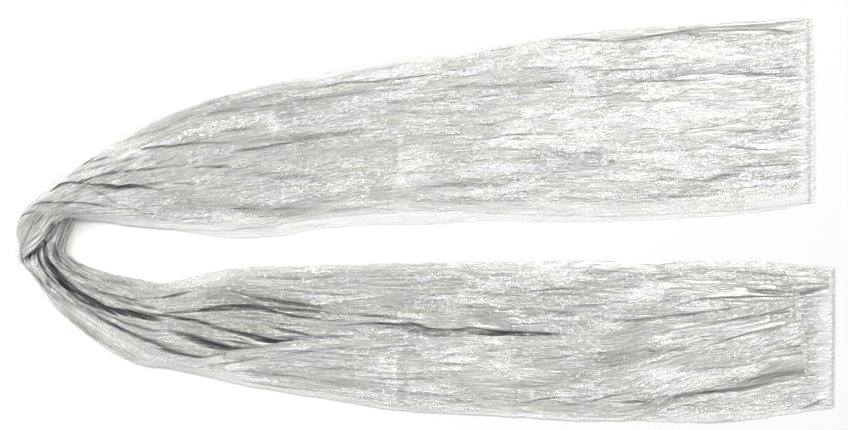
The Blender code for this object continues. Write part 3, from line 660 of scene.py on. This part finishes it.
# the layer under it, which shows past its edges
underCloth = {
    "sections": [
        (410, 217, 413, 19, 0.2, 0.4, 0.1, 6),
        (350, 214, 350, 8, 0.2, 1.3, 0.1, 6),
        (280, 210.5, 280, 3, 0.2, 1.3, 0.1, 6),
        (200, 205, 200, -1, 0.2, 1.3, 0.1, 6),
        (130, 196, 130, -1.5, 0.2, 1.3, 0.1, 6),
        (60, 185.5, 60, 0, 0.2, 1.3, 0.1, 6),
        (0, 179.5, 0, -4.5, 0.2, 1.3, 0.1, 6),
        (-60, 169.5, -60, -5, 0.2, 1.3, 0.1, 6),
        (-110, 157.5, -110, -8.5, 0.2, 1.3, 0.1, 6),
        (-130, 153.5, -130, -12, 0.2, 1.3, 0.1, 6),
        (-150, 149, -150, -16.5, 0.2, 1.3, 0.1, 6),
    ],
    "rows": 200,
    "columns": 70,
    "spread": 214.0,
    "crinkle": 0.25,
    "edgeRipple": 0.9,
    "thickness": 0.3,
    "floor": 0.05,
    "seed": 21.0,
    "crush": 0.5,
    "sheer": 1.0,
    "sheerInside": 1.0,
    "sheerReach": 400.0,
    "gather": 0.0,
    "patches": [(100, -4, 300, 8, 0, 0.6), (40, 184, 120, 8, 6, 0.5)],
}
under = makeCloth("underCloth", underCloth, underFinish, [upper])
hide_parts("upper_under")
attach(under, "root")

# the same layer's edge, round the outside of the bend
bendRim = {
    "sections": [
        (-152, 149.2, -150, 139, 1.2, 0.6, 1.6, 4),
        (-200, 137, -197, 127, 1.2, 0.6, 1.6, 4),
        (-250, 122, -246, 112, 1.2, 0.6, 1.6, 4),
        (-300, 101, -295, 91.5, 1.2, 0.6, 1.6, 4),
        (-345, 75, -339.5, 66, 1.2, 0.6, 1.6, 4),
        (-380, 51.5, -374, 43, 1.2, 0.6, 1.6, 4),
        (-408, 29.5, -401, 22, 1.2, 0.6, 1.6, 4),
        (-427.5, 12.5, -419, 6, 1.2, 0.6, 1.6, 4),
        (-437, -2, -428.5, -4.5, 1.2, 0.6, 1.6, 4),
        (-438.5, -18, -430, -17, 1.2, 0.6, 1.6, 4),
        (-437, -34, -431, -34, 1.2, 0.6, 1.6, 4),
        (-432.5, -46, -430, -45, 1, 0.4, 1.2, 4),
    ],
    "rows": 220,
    "columns": 14,
    "spread": 12.0,
    "crinkle": 0.3,
    "edgeRipple": 0.7,
    "thickness": 0.4,
    "floor": 0.6,
    "seed": 31.0,
    "crush": 0.5,
    "sheer": 0.8,
    "sheerInside": 0.8,
    "sheerReach": 400.0,
    "gather": 0.3,
}
rim = makeCloth("bendRim", bendRim, underFinish, [upper])
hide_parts("bend_edge")
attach(rim, "root")

# the gathered layers inside the bend, as one rounded heap
bendBundle = {
    "sections": [
        (-143, 138.6, -143, -14.8, 1.9, 0.2, 0.3, 2),
        (-197.3, 126.6, -200, -18.5, 1.9, 0.4, 0.6, 2),
        (-246.3, 111.6, -248.3, -12.5, 1.9, 1.4, 0.8, 2),
        (-295.3, 91.1, -292.3, -6.6, 1.9, 3.4, 1.2, 2),
        (-339.8, 65.6, -326.3, -1.8, 1.9, 6.2, 1.5, 2.4),
        (-374.3, 42.6, -350.3, 1.2, 1.9, 8.4, 1.6, 2.8),
        (-401.3, 21.6, -363.3, 4.7, 1.9, 9, 1.6, 3.2),
        (-419.3, 5.6, -367.3, 6.2, 1.9, 7.6, 1.6, 3.2),
        (-428.8, -4.9, -369, 6.6, 1.9, 5.6, 1.6, 3),
    ],
    "rows": 120,
    "columns": 60,
    "spread": 150.0,
    "crinkle": 0.25,
    "edgeRipple": 0.0,
    "thickness": 0.4,
    "floor": 0.35,
    "seed": 41.0,
    "veils": [(-200, -15, 70, 8, 0, 0.8), (-146, -8, 13, 12, 0, 1.0)],
    "crush": 0.75,
    "sheer": 0.3,
    "sheerInside": 1.0,
    "sheerReach": 14.0,
    "gather": 0.5,
}
bundle = makeCloth("bendBundle", bendBundle, underFinish, [upper])
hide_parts("bend_heap")
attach(bundle, "root")

# the lower arm, a bundle of strands that spreads out
lowerCloth = {
    "sections": [
        (-427, -6, -369, 4.5, 0.6, 8.4, 0.6, 3.4),
        (-429.5, -24, -375.5, -9, 0.6, 8.8, 0.6, 3.4),
        (-430.5, -38, -381, -22.5, 0.6, 9.6, 0.6, 3.2),
        (-427.5, -49, -383, -32, 0.6, 11, 0.6, 3),
        (-419.5, -58.5, -378.5, -38.5, 0.6, 12, 0.6, 2.8),
        (-405.5, -76.5, -360, -49, 0.6, 13, 0.6, 2.5),
        (-385.5, -99, -332, -57.5, 0.6, 13, 0.6, 2.2),
        (-352.5, -127, -303, -63.5, 0.6, 12.4, 0.6, 2.4),
        (-315, -150.5, -280, -67, 0.6, 11.4, 0.6, 2.5),
        (-275, -157, -252, -60.5, 0.6, 10.4, 0.6, 2.6),
        (-235, -164, -225, -54.5, 0.6, 9.2, 0.6, 3),
        (-190, -173, -190, -50, 0.6, 7.6, 0.6, 4),
        (-130, -183.5, -130, -49.5, 0.6, 5.8, 0.6, 5),
        (-60, -194, -60, -47, 0.6, 4.6, 0.6, 6),
        (10, -200.5, 10, -45, 0.6, 4.2, 0.6, 6),
        (80, -206, 80, -44.5, 0.6, 4.2, 0.6, 6),
        (160, -210, 160, -43, 0.6, 4.2, 0.6, 6),
        (230, -214, 230, -43.5, 0.6, 4.2, 0.6, 6),
        (310, -216, 310, -43.5, 0.6, 4.2, 0.6, 6),
        (370, -209.5, 370, -45, 0.6, 3, 0.6, 6),
        (433, -200.5, 434, -50.5, 0.6, 1.2, 0.6, 6),
    ],
    "rows": 236,
    "columns": 206,
    "spread": 168.0,
    "crinkle": 1.0,
    "edgeRipple": 1.0,
    "thickness": 0.5,
    "floor": 0.4,
    "seed": 51.0,
    "veils": [(-400, -88, 40, 10, -45, 0.5), (435, -138, 16, 70, 0, 0.75)],
    "crush": 0.42,
    "calm": [(-220, -104, 92, 50, -8, 1.0), (420, -135, 14, 60, 0, 0.7)],
    "sheer": 0.7,
    "sheerInside": 0.4,
    "sheerReach": 7.0,
    "gather": 0.95,
    "folds": [
        # the painted shadow under the wrap, and the deep valleys between the strands with their painted shade
        ([(-430, -44), (-423, -39), (-412, -31), (-401, -23), (-396, -16)], 2.2, 3),
        ([(-428, -45), (-417, -38), (-405, -29)], 5.5, 1.8),
        ([(-400, -42), (-389, -57), (-376, -70), (-362, -80), (-342, -88)], 3.4, 4),
        ([(-328, -95), (-308, -99), (-284, -103)], 4, 2),
        ([(-168, -126), (-140, -125.5), (-115, -125.5), (-88, -124)], 3.2, 1.8),
        ([(338, -71), (365, -76), (394, -77)], 2.4, 2.6),
        ([(-401, -13), (-397.5, -7), (-393.5, -1)], 2.4, 3.4),
        ([(-410, -16), (-405, -23), (-401, -42), (-393, -55), (-384, -67), (-375, -76), (-365, -83),
          (-350, -89), (-335, -95), (-320, -98), (-305, -101), (-280, -107)], 4.2, 6),
        ([(-413, -28), (-409, -42), (-402, -56), (-386, -72)], 2.2, 2.6),
        ([(-402, -67), (-396, -72)], 1.8, 2),
        ([(-395, -22), (-392, -34), (-386, -45)], 1.7, 1.5),
        ([(-383, -45), (-374, -54), (-362, -60), (-350, -64)], 1.6, 1.2),
        ([(-399, -22), (-397, -32), (-393, -41)], 0.9, 1.6, "ridge"),
        ([(-389, -26), (-386, -34), (-380, -42)], 0.8, 1.4, "ridge"),
        ([(-384, -52), (-377, -60), (-367, -67)], 0.8, 1.6, "ridge"),
        ([(-372, -50), (-362, -56), (-351, -60)], 0.7, 1.4, "ridge"),
        ([(-352, -67), (-341, -72), (-328, -76)], 0.8, 1.4, "ridge"),
        ([(-339, -62), (-327, -65), (-314, -69)], 0.7, 1.2, "ridge"),
        ([(-407, -52), (-401, -60), (-393, -67)], 0.8, 1.4, "ridge"),
        ([(-414, -40), (-411, -50), (-405, -58)], 0.7, 1.2, "ridge"),
        ([(-368, -78), (-356, -84), (-345, -88)], 0.7, 1.2, "ridge"),
        ([(-382, -39), (-370, -48), (-356, -55)], 1.4, 1),
        ([(-346, -62), (-328, -66), (-304, -70)], 1.6, 0.9),
        ([(-372, -64), (-356, -72), (-340, -78), (-322, -82), (-296, -88)], 1.8, 2),
        ([(-340, -80), (-318, -87), (-296, -92), (-276, -96)], 2, 1.6),
        ([(-420, -52), (-408, -68), (-394, -84), (-372, -102)], 1.8, 1.6),
        ([(-412, -70), (-398, -86), (-380, -100), (-352, -116)], 1.7, 1.2),
        ([(-380, -88), (-345, -105), (-315, -119), (-285, -132), (-270, -140), (-240, -146),
          (-222, -143)], 2.6, 3.4),
        ([(-372, -98), (-345, -117), (-318, -132), (-290, -143)], 2, 1.6),
        ([(-352, -94), (-325, -107), (-300, -115), (-282, -118)], 2, 1.8),
        ([(-292, -100), (-282, -101), (-270, -102.5), (-259, -104.5), (-246, -106.5), (-237, -108.7),
          (-224, -113.4), (-207, -117.6), (-186, -122.5)], 1.9, 3.6),
        ([(-198, -119.5), (-186, -122.6), (-174, -126.2), (-162, -129), (-152, -129.5),
          (-140, -127.6)], 3, 5),
        ([(-273, -118), (-256, -122.8), (-242, -127.4), (-230, -131.8), (-216, -135.8), (-202, -138),
          (-186, -137)], 4.8, 4.6),
        ([(-240, -109.5), (-222, -116), (-204, -121.5), (-190, -127), (-176, -132)], 1.2, 1.4, "ridge"),
        ([(-212, -128), (-198, -130.5), (-182, -133)], 1.4, 1.8),
        ([(-279, -82.2), (-270, -80.6), (-260, -78.2), (-248, -75.4)], 1.7, 2.6),
        ([(-310, -84), (-292, -83), (-276, -82)], 1.6, 1.2),
        ([(-276, -98.6), (-258, -97.8), (-240, -96.2), (-226, -94)], 1.1, 1.8),
        ([(-240, -96), (-222, -94), (-205, -92.5), (-185, -92.5), (-172, -94.5), (-158, -98)], 3.2, 3.4),
        ([(-209, -76), (-225, -85), (-240, -92), (-275, -97)], 2, 1.4, "ridge"),
        ([(-209, -76), (-196, -80), (-180, -86.5), (-160, -95), (-145, -99),
          (-128, -102.5)], 1.2, 1.8, "ridge"),
        ([(-165, -96.5), (-150, -100), (-130, -103.5), (-108, -106)], 1.3, 2.4),
        ([(-209, -75), (-196, -78), (-184, -81.5)], 1.2, 1.8),
        ([(-190, -82), (-172, -84), (-155, -86.5), (-130, -90), (-108, -94)], 2.2, 2.8),
        ([(-176, -91), (-158, -93.5), (-145, -95), (-128, -95.8), (-100, -99)], 1.5, 2.4),
        ([(-233, -83), (-219, -79)], 1.6, 1.2),
        ([(-95, -99), (-50, -102), (-30, -104), (-6, -106)], 1.8, 1.4),
        ([(-175, -110), (-150, -117), (-120, -123)], 2.2, 2.2),
        ([(-210, -103), (-180, -106), (-150, -111), (-120, -114)], 1.8, 1.4),
        # quieter creases of the spread arm
        ([(-60, -70), (-35, -70), (-10, -70)], 1.5, 0.9),
        ([(-90, -112), (-55, -109), (-30, -110), (-10, -110), (5, -115), (35, -116), (50, -114),
          (80, -118)], 2, 2.6, "lap"),
        ([(-24, -116), (-6, -119), (14, -121), (30, -121)], 4, 2),
        ([(34, -118.5), (60, -120), (84, -121), (110, -121.6), (146, -122)], 3.4, 3.2),
        ([(118, -100), (140, -98), (162, -102)], 2.2, 1.8),
        ([(100, -77), (140, -73), (165, -73)], 1.6, 1.1, "lap"),
        ([(-8, -80), (20, -79), (42, -77)], 1.5, 0.8),
        ([(262, -95), (270, -91), (285, -86), (300, -83), (345, -81), (392, -81)], 1.9, 1.8, "lap"),
        ([(196, -108), (228, -107), (262, -103), (305, -98), (325, -95), (345, -91)], 2.2, 2.2),
        ([(325, -86), (350, -88), (368, -87)], 1.5, 1.1),
        ([(398, -79), (412, -77), (424, -74), (436, -70)], 2, 2.8),
        ([(402, -88), (412, -84), (422, -80)], 1.5, 1.2),
        ([(403, -91), (418, -92)], 1.4, 1),
        ([(290, -52), (340, -55), (380, -59), (430, -61)], 1.6, 1.1),
        ([(240, -64), (262, -62), (288, -59)], 1.6, 0.9),
        ([(350, -69), (385, -70), (420, -68)], 1.6, 0.8),
        ([(-180, -60), (-140, -62), (-100, -60)], 1.8, 0.8),
        ([(-150, -74), (-110, -78), (-70, -80)], 2, 0.9),
        ([(40, -92), (80, -95), (120, -94)], 2, 0.8),
        ([(150, -92), (190, -90), (230, -84)], 1.8, 0.9),
        ([(170, -57), (210, -56), (235, -58)], 1.6, 0.7),
        ([(252, -205), (285, -197), (320, -189)], 1.7, 1.2),
        ([(402, -201), (412, -198), (420, -194), (427, -190)], 1.5, 3, "lap"),
        ([(390, -186), (405, -186), (428, -183)], 1.5, 0.8),
        ([(413, -119), (425, -119), (433, -120)], 2, 0.9),
        ([(405, -168), (416, -166), (428, -168)], 2, 1.2),
    ],
    "patches": [
        # painted light, and painted shade where the amount is below 0
        (110, -85, 220, 60, 0, -0.5), (-185, -90, 70, 34, 0, -0.9), (-380, -26, 9, 13, 12, -1.2),
        (-238, -64, 32, 8, 4, 2.6), (-320, -69, 38, 7, -12, -1.3), (-360, -92, 24, 7, -45, -1.4),
        (-180, -82, 30, 6, -16, -0.8), (-98, -66, 24, 7, 0, -0.9), (-176, -62, 24, 8, 0, 1.2),
        (5, -112, 22, 5, 0, -1.0), (-202, -83, 24, 6, 0, -1.6), (-225, -102, 30, 6, -5, 1.0),
        (-146, -111, 26, 6, -5, 1.0), (-409, -62, 14, 34, 40, 1.0), (-312, -120, 16, 7, -30, 1.4),
        (-240, -146, 34, 6, -8, 1.2), (-350, -105, 16, 7, -38, -1.0), (358, -85, 32, 5, 4, -1.2),
        (424, -73, 9, 8, 0, -2.4), (422, -142, 10, 9, 0, 1.2), (-262, -101, 20, 5, -8, -0.7),
        (-135, -96, 48, 7, -6, -0.9), (-190, -130, 20, 5, -15, -1.2), (-262, -139, 26, 5, -20, -0.9),
        (-64, -52, 50, 6, 0, -0.5), (-33, -113, 24, 4, -5, -1.4), (76, -121, 34, 4, -2, -1.6),
        (215, -87, 30, 7, 3, 0.7), (274, -74, 22, 7, 0, 0.7), (368, -72, 56, 8, 0, -1.3),
        (-20, -90, 26, 8, 0, -0.6), (78, -104, 24, 6, -6, -0.8), (62, -112.5, 22, 3, -6, -1.0),
        (128, -100, 20, 6, 0, -0.7), (230, -80, 30, 10, 5, 0.9), (-120, -70, 50, 12, 0, 0.7),
        (-310, -105, 50, 3, -22, 0.6), (-330, -72, 50, 6, -20, 0.6), (49, -69, 40, 8, 0, -0.4),
        (340, -68, 60, 8, -3, 0.5), (330, -205, 70, 8, 6, 0.9), (420, -110, 12, 16, 0, 0.8),
    ],
}
# its outer half, folded over to lie on it
flapCloth = {
    "sections": [
        (-404.5, -76.5, -402.5, -74.5, 2, 0.6, 3.6, 2.4),
        (-394, -93, -385.5, -82.5, 1.4, 1.2, 6, 2.4),
        (-372, -113, -361, -94.5, 1.2, 1.8, 6.8, 2.4),
        (-340, -136, -335, -111.5, 1.2, 2.4, 6.8, 2.4),
        (-305, -154, -300, -129.5, 1.4, 2.8, 6.4, 2.4),
        (-272, -158, -266, -143, 2, 2.8, 5.8, 2.6),
        (-242, -164.5, -238, -147.5, 1.4, 2.8, 5.4, 3),
        (-213, -171, -215, -141.5, 1.4, 3, 5, 3),
        (-176, -179, -180, -134.5, 1.4, 2.6, 5.2, 3.2),
        (-136, -185.5, -140, -128.5, 1.4, 2.2, 5.4, 3),
        (-86, -193.5, -90, -129.5, 1.4, 2, 5.4, 3),
        (-28, -202.5, -30, -127.5, 1.4, 2, 5.4, 3),
        (30, -206.5, 30, -123.5, 1.4, 2, 5.4, 3),
        (90, -209, 90, -123.4, 1.4, 2, 5.4, 3),
        (150, -213, 150, -122.5, 1.4, 2, 5.4, 3),
        (200, -214, 200, -120.5, 1.4, 2, 5.4, 3),
        (238, -208.5, 240, -110, 2, 2, 5.4, 3),
        (288, -187.5, 290, -103, 2.8, 1.8, 5.4, 3),
        (342, -181.5, 340, -95.5, 2.8, 1.8, 4.8, 3),
        (408, -166, 395, -80.5, 2.9, 0.8, 3.3, 3),
    ],
    "rows": 290,
    "columns": 166,
    "spread": 96.0,
    "crinkle": 0.9,
    "edgeRipple": 0.8,
    "thickness": 0.5,
    "floor": 1.3,
    "seed": 61.0,
    "veils": [(-325, -152, 80, 6, -28, 0.6), (-245, -165, 60, 8, -8, 0.9), (-130, -188, 100, 7, -9, 0.85),
              (50, -209, 120, 6, -3, 0.8), (190, -214, 50, 5, 0, 0.7)],
    "crush": 0.42,
    "sheer": 0.1,
    "sheerInside": 0.05,
    "sheerReach": 9.0,
    "gather": 0.12,
    "folds": [
        ([(-206, -161.5), (-190, -161), (-172, -163.5), (-150, -166), (-128, -168)], 2.2, 1.2),
        ([(-165, -145), (-130, -141), (-100, -137), (-60, -132)], 1.8, 1.2),
        ([(-240, -157), (-205, -152), (-170, -146)], 1.7, 1.1),
        ([(-200, -172), (-160, -177), (-110, -183)], 1.7, 0.9),
        ([(-80, -138), (-40, -136), (-10, -132)], 1.7, 0.9),
        ([(110, -150), (140, -147), (172, -142)], 1.7, 1),
        ([(60, -140), (90, -137), (130, -134)], 1.7, 0.8),
        ([(100, -196), (130, -190), (150, -188)], 1.7, 1, "lap"),
        ([(172, -195), (200, -187), (225, -183)], 1.7, 1.1, "lap"),
        ([(195, -194), (215, -195), (235, -194), (250, -198)], 1.9, 1.4),
        ([(262, -190), (285, -187), (305, -184), (335, -181), (352, -178), (368, -174)], 2.2, 2.6),
        ([(340, -173), (368, -167), (392, -163), (414, -160)], 4.6, 1.3),
        ([(275, -161), (300, -160), (320, -159), (348, -153)], 3.2, 1.3),
        ([(290, -138), (330, -125), (360, -117), (400, -108)], 1.4, 0.9, "lap"),
        ([(230, -139), (260, -139), (285, -138)], 1.7, 1),
        ([(225, -124), (265, -118), (310, -110), (350, -103), (392, -97)], 1.8, 1),
        ([(330, -106), (360, -101), (398, -92)], 1.6, 0.9),
        ([(345, -124), (372, -117), (400, -112)], 1.6, 0.8),
        ([(370, -140), (390, -136), (408, -133)], 1.6, 0.8),
        ([(355, -150), (385, -145), (410, -142)], 1.6, 0.8),
        ([(-60, -168), (-20, -170), (20, -168)], 1.8, 0.8),
        ([(0, -150), (40, -154), (80, -152)], 1.8, 0.8),
        ([(-120, -160), (-90, -158), (-50, -154)], 1.7, 0.8),
    ],
    "patches": [
        # painted light, and painted shade where the amount is below 0
        (-328, -122, 66, 11, -32, 2.2), (-240, -156, 52, 12, -8, 2.8), (-366, -110, 26, 8, -42, -1.1),
        (-75, -175, 34, 5, -8, -1.2), (156, -171, 46, 6, 16, -1.0), (252, -163, 30, 8, 0, 1.2),
        (0, -201, 110, 7, -5, 1.2), (-160, -178, 60, 6, -9, 1.0), (-246, -159, 30, 5, -9, 1.0),
        (-36, -157, 60, 7, -3, -0.6), (47, -146, 26, 11, 30, 0.9), (108, -171, 44, 8, 0, -0.7),
        (156, -164, 24, 8, 0, -0.9), (200, -149, 24, 9, 0, -1.0), (245, -194, 28, 6, 10, -1.3),
        (330, -179, 70, 6, 12, -1.8), (386, -163, 30, 7, 10, -1.6), (381, -152, 24, 7, 6, -0.6),
        (-29.5, -170, 1.5, 32, 3, 1.3), (-23, -170, 5.0, 32, 3, -0.8), (186, -150, 1.4, 26, 4, 0.8),
        (-160, -165, 34, 5, -3, -0.1), (-172, -132, 50, 6, 6, -1.3), (220, -140, 34, 12, 0, -1.0),
        (272, -178, 30, 6, 8, 1.3), (176, -200, 40, 6, 0, -1.3), (-50, -160, 22, 16, 0, 0.8),
        (80, -160, 28, 12, 0, 0.9), (290, -164, 50, 4, 8, 1.0), (310, -153, 36, 4, 3, -0.9),
        (120, -140, 30, 6, 0, -0.5), (0, -140, 26, 8, 0, -0.5), (370, -128, 30, 8, 16, 0.4),
    ],
}
flap = makeCloth("flapCloth", flapCloth, clothFinish)
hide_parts("lower_flap")
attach(flap, "root")

lower = makeCloth("lowerCloth", lowerCloth, clothFinish, [flap, upper])
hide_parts("lower_panel")
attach(lower, "root")


# What the hems share: waves along and across them, their wall, and the overlock thread's slant,
# lift, width and height.
hemStyle = {"edgeWaves": (12, 9), "puffWaves": (3.4, 9), "thickness": 0.4,
            "slant": 0.9, "lift": 0.35, "threadWidth": 0.34, "threadHeight": 0.28}


def makeStitches(name, settings, grid, run):
    # a loop of thread at every stitch, slanting to and fro over the hem's raw edge
    chance = random.Random(int(settings["seed"]))
    lift = Vector((0, 0, hemStyle["lift"] * millimetre))
    forward = Vector((run.x, run.y, 0)).normalized() * millimetre
    threadSize = (hemStyle["threadWidth"] * millimetre, hemStyle["threadHeight"] * millimetre)
    bm = bmesh.new()
    count = int(run.length / settings["stitch"])
    for k in range(count):
        row = min(len(grid) - 1, int((k + 0.5) / count * len(grid)))
        slant = hemStyle["slant"] if k % 2 else -hemStyle["slant"]
        inner, outer = Vector(grid[row, 2]), Vector(grid[row, -2])
        direction = (outer - inner) * chance.uniform(0.8, 1.0) + forward * slant
        middle = inner + direction * 0.5 + lift
        turn = direction.to_track_quat("X", "Z").to_matrix().to_4x4()
        size = Matrix.Diagonal((direction.length, *threadSize, 1))
        bmesh.ops.create_cube(bm, size=1.0, matrix=Matrix.Translation(middle) @ turn @ size)
    stitches = bpy.data.meshes.new(name)
    bm.to_mesh(stitches)
    bm.free()
    print("made", name, count, "stitches")
    return addPiece(stitches, threadFinish, 0)


def makeHem(name, settings, material):
    # a narrow turned band from start to end, puffed along the cloth and thin at its raw edge
    start, end = Vector(settings["start"]), Vector(settings["end"])
    run = end - start
    out = Vector((run.y, -run.x)).normalized() * settings["side"]
    rows, columns = settings["rows"], 9
    mesh, i, j = gridMesh(name, rows, columns)
    s = np.linspace(0, 1, rows)[:, None]
    a = np.linspace(0, 1, columns)[None, :]
    length = run.length * s + 0 * a
    pull = settings["bow"] * np.sin(np.pi * s)
    pull = pull + 0.5 * streaks(length, 0 * length, *hemStyle["edgeWaves"], settings["seed"])
    reach = settings["gap"] + a * settings["width"] + pull * (0.2 + 0.8 * a)
    x = start.x + run.x * s + out.x * reach
    y = start.y + run.y * s + out.y * reach
    puff = 1 - a ** 3.2
    waves = 0.8 * streaks(length, a * 6, *hemStyle["puffWaves"], settings["seed"] + 3)
    waves = waves * (0.4 + 0.6 * puff)
    ends = np.clip(np.minimum(s, 1 - s) * 40, 0.35, 1)
    z = settings["low"] + (settings["high"] - settings["low"]) * puff * ends + waves
    z = np.maximum(z, settings["floor"])
    grid = np.stack([x, y, z], axis=-1) * millimetre
    mesh.vertices.foreach_set("co", grid[i, j].ravel())
    layers = {"shade": 0.0, "paintedLightAndShade": 0.0, "crush": 0.6, "gather": 0.0, "sheer": settings["sheer"]}
    paintPoints(mesh, {label: [amount] * len(mesh.vertices) for label, amount in layers.items()})
    uv = np.empty(len(mesh.loops) * 2)
    mesh.uv_layers["cloth"].data.foreach_get("uv", uv)
    uv = uv.reshape(-1, 2)[:, ::-1] * (settings["width"] * millimetre, run.length * millimetre)
    mesh.uv_layers["cloth"].data.foreach_set("uv", uv.ravel())
    mesh.update()
    hem = addPiece(mesh, material, hemStyle["thickness"])
    thread = makeStitches(name + "Stitches", settings, grid, run)
    for piece in (hem, thread):
        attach(piece, "root")
    return hem, thread


upperHem = {"start": (408.2, 216.0), "end": (409.2, 19.0), "side": -1, "gap": -1.2, "width": 4.6, "bow": 1.2,
            "rows": 320, "low": 1.0, "high": 2.0, "floor": 1.0, "seed": 71.0, "sheer": 0.8, "stitch": 2.1}
underHem = {"start": (410.2, 216.6), "end": (413.2, 19.4), "side": -1, "gap": -1.2, "width": 6.0, "bow": 1.4,
            "rows": 300, "low": 0.1, "high": 0.6, "floor": 0.1, "seed": 74.0, "sheer": 1.0, "stitch": 5.2}
lowerHem = {"start": (433.2, -200.4), "end": (434.2, -50.6), "side": 1, "gap": -1.2, "width": 5.6, "bow": 0.3,
            "rows": 260, "low": 0.2, "high": 1.5, "floor": 0.2, "seed": 77.0, "sheer": 0.7, "stitch": 2.2}
flapHem = {"start": (408.3, -165.8), "end": (395.3, -80.6), "side": 1, "gap": -1.2, "width": 4.0, "bow": 2.5,
           "rows": 150, "low": 3.2, "high": 3.6, "floor": 2.8, "seed": 80.0, "sheer": 0.0, "stitch": 3.4}
upperHemPieces = makeHem("upperHem", upperHem, underFinish)
underHemPieces = makeHem("underHem", underHem, underFinish)
lowerHemPieces = makeHem("lowerHem", lowerHem, underFinish)
flapHemPieces = makeHem("flapHem", flapHem, clothFinish)
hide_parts("upper_panel_hem")
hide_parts("upper_under_hem")
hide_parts("lower_panel_hem")
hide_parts("lower_flap_hem")


# The floor, sky and softboxes, in metres.
studio = {
    "floorSize": 3.0,
    "floorDrop": 0.3 * millimetre,
    "floorColor": (0.80, 0.80, 0.80),
    "skyColor": (0.99, 1.0, 1.0, 1),
    "zenith": 0.43,
    "horizon": 0.38,
    "softboxSize": (2.6, 1.3),
    "softboxes": [((1.4, 2.3, 3.4), 82.0), ((0.9, -2.5, 3.2), 34.0), ((-3.2, 1.2, 1.9), 136.0)],
}
floorMesh = bpy.data.meshes.new("floor")
bm = bmesh.new()
bmesh.ops.create_grid(bm, x_segments=1, y_segments=1, size=studio["floorSize"])
bmesh.ops.translate(bm, verts=bm.verts, vec=(0, 0, -studio["floorDrop"]))
bm.to_mesh(floorMesh)
bm.free()
floor = addPiece(floorMesh, plainFinish("white paper", studio["floorColor"], 0.9, 0.0), 0)

world = bpy.data.worlds.new("studio")
world.use_nodes = True
bpy.context.scene.world = world
nodes, links = world.node_tree.nodes, world.node_tree.links
coordinates = nodes.new("ShaderNodeTexCoord")
split = nodes.new("ShaderNodeSeparateXYZ")
level = nodes.new("ShaderNodeMapRange")
level.inputs["From Min"].default_value = 0.2
level.inputs["From Max"].default_value = 1.0
level.inputs["To Min"].default_value = studio["horizon"]
level.inputs["To Max"].default_value = studio["zenith"]
background = nodes["Background"]
background.inputs["Color"].default_value = studio["skyColor"]
links.new(coordinates.outputs["Generated"], split.inputs["Vector"])
links.new(split.outputs["Z"], level.inputs["Value"])
links.new(level.outputs["Result"], background.inputs["Strength"])
for k, (place, power) in enumerate(studio["softboxes"]):
    light = bpy.data.lights.new("softbox%d" % k, "AREA")
    light.shape = "RECTANGLE"
    light.size, light.size_y = studio["softboxSize"]
    light.energy = power
    lamp = bpy.data.objects.new(light.name, light)
    lamp.location = place
    lamp.rotation_euler = (-Vector(place)).to_track_quat("-Z", "Y").to_euler()
    bpy.context.scene.collection.objects.link(lamp)

# straight above, at the height where the picture is as wide as the view
view = {"middle": (0.0, 0.0059), "width": 0.9074, "lens": 85.0, "sensor": 36.0}
camera = bpy.data.cameras.new("above")
camera.lens = view["lens"]
camera.sensor_width = view["sensor"]
camera.sensor_fit = "HORIZONTAL"
eye = bpy.data.objects.new("above", camera)
eye.location = (*view["middle"], view["width"] * view["lens"] / view["sensor"])
bpy.context.scene.collection.objects.link(eye)
bpy.context.scene.camera = eye
bpy.context.scene.view_settings.view_transform = "Standard"
print("studio set")
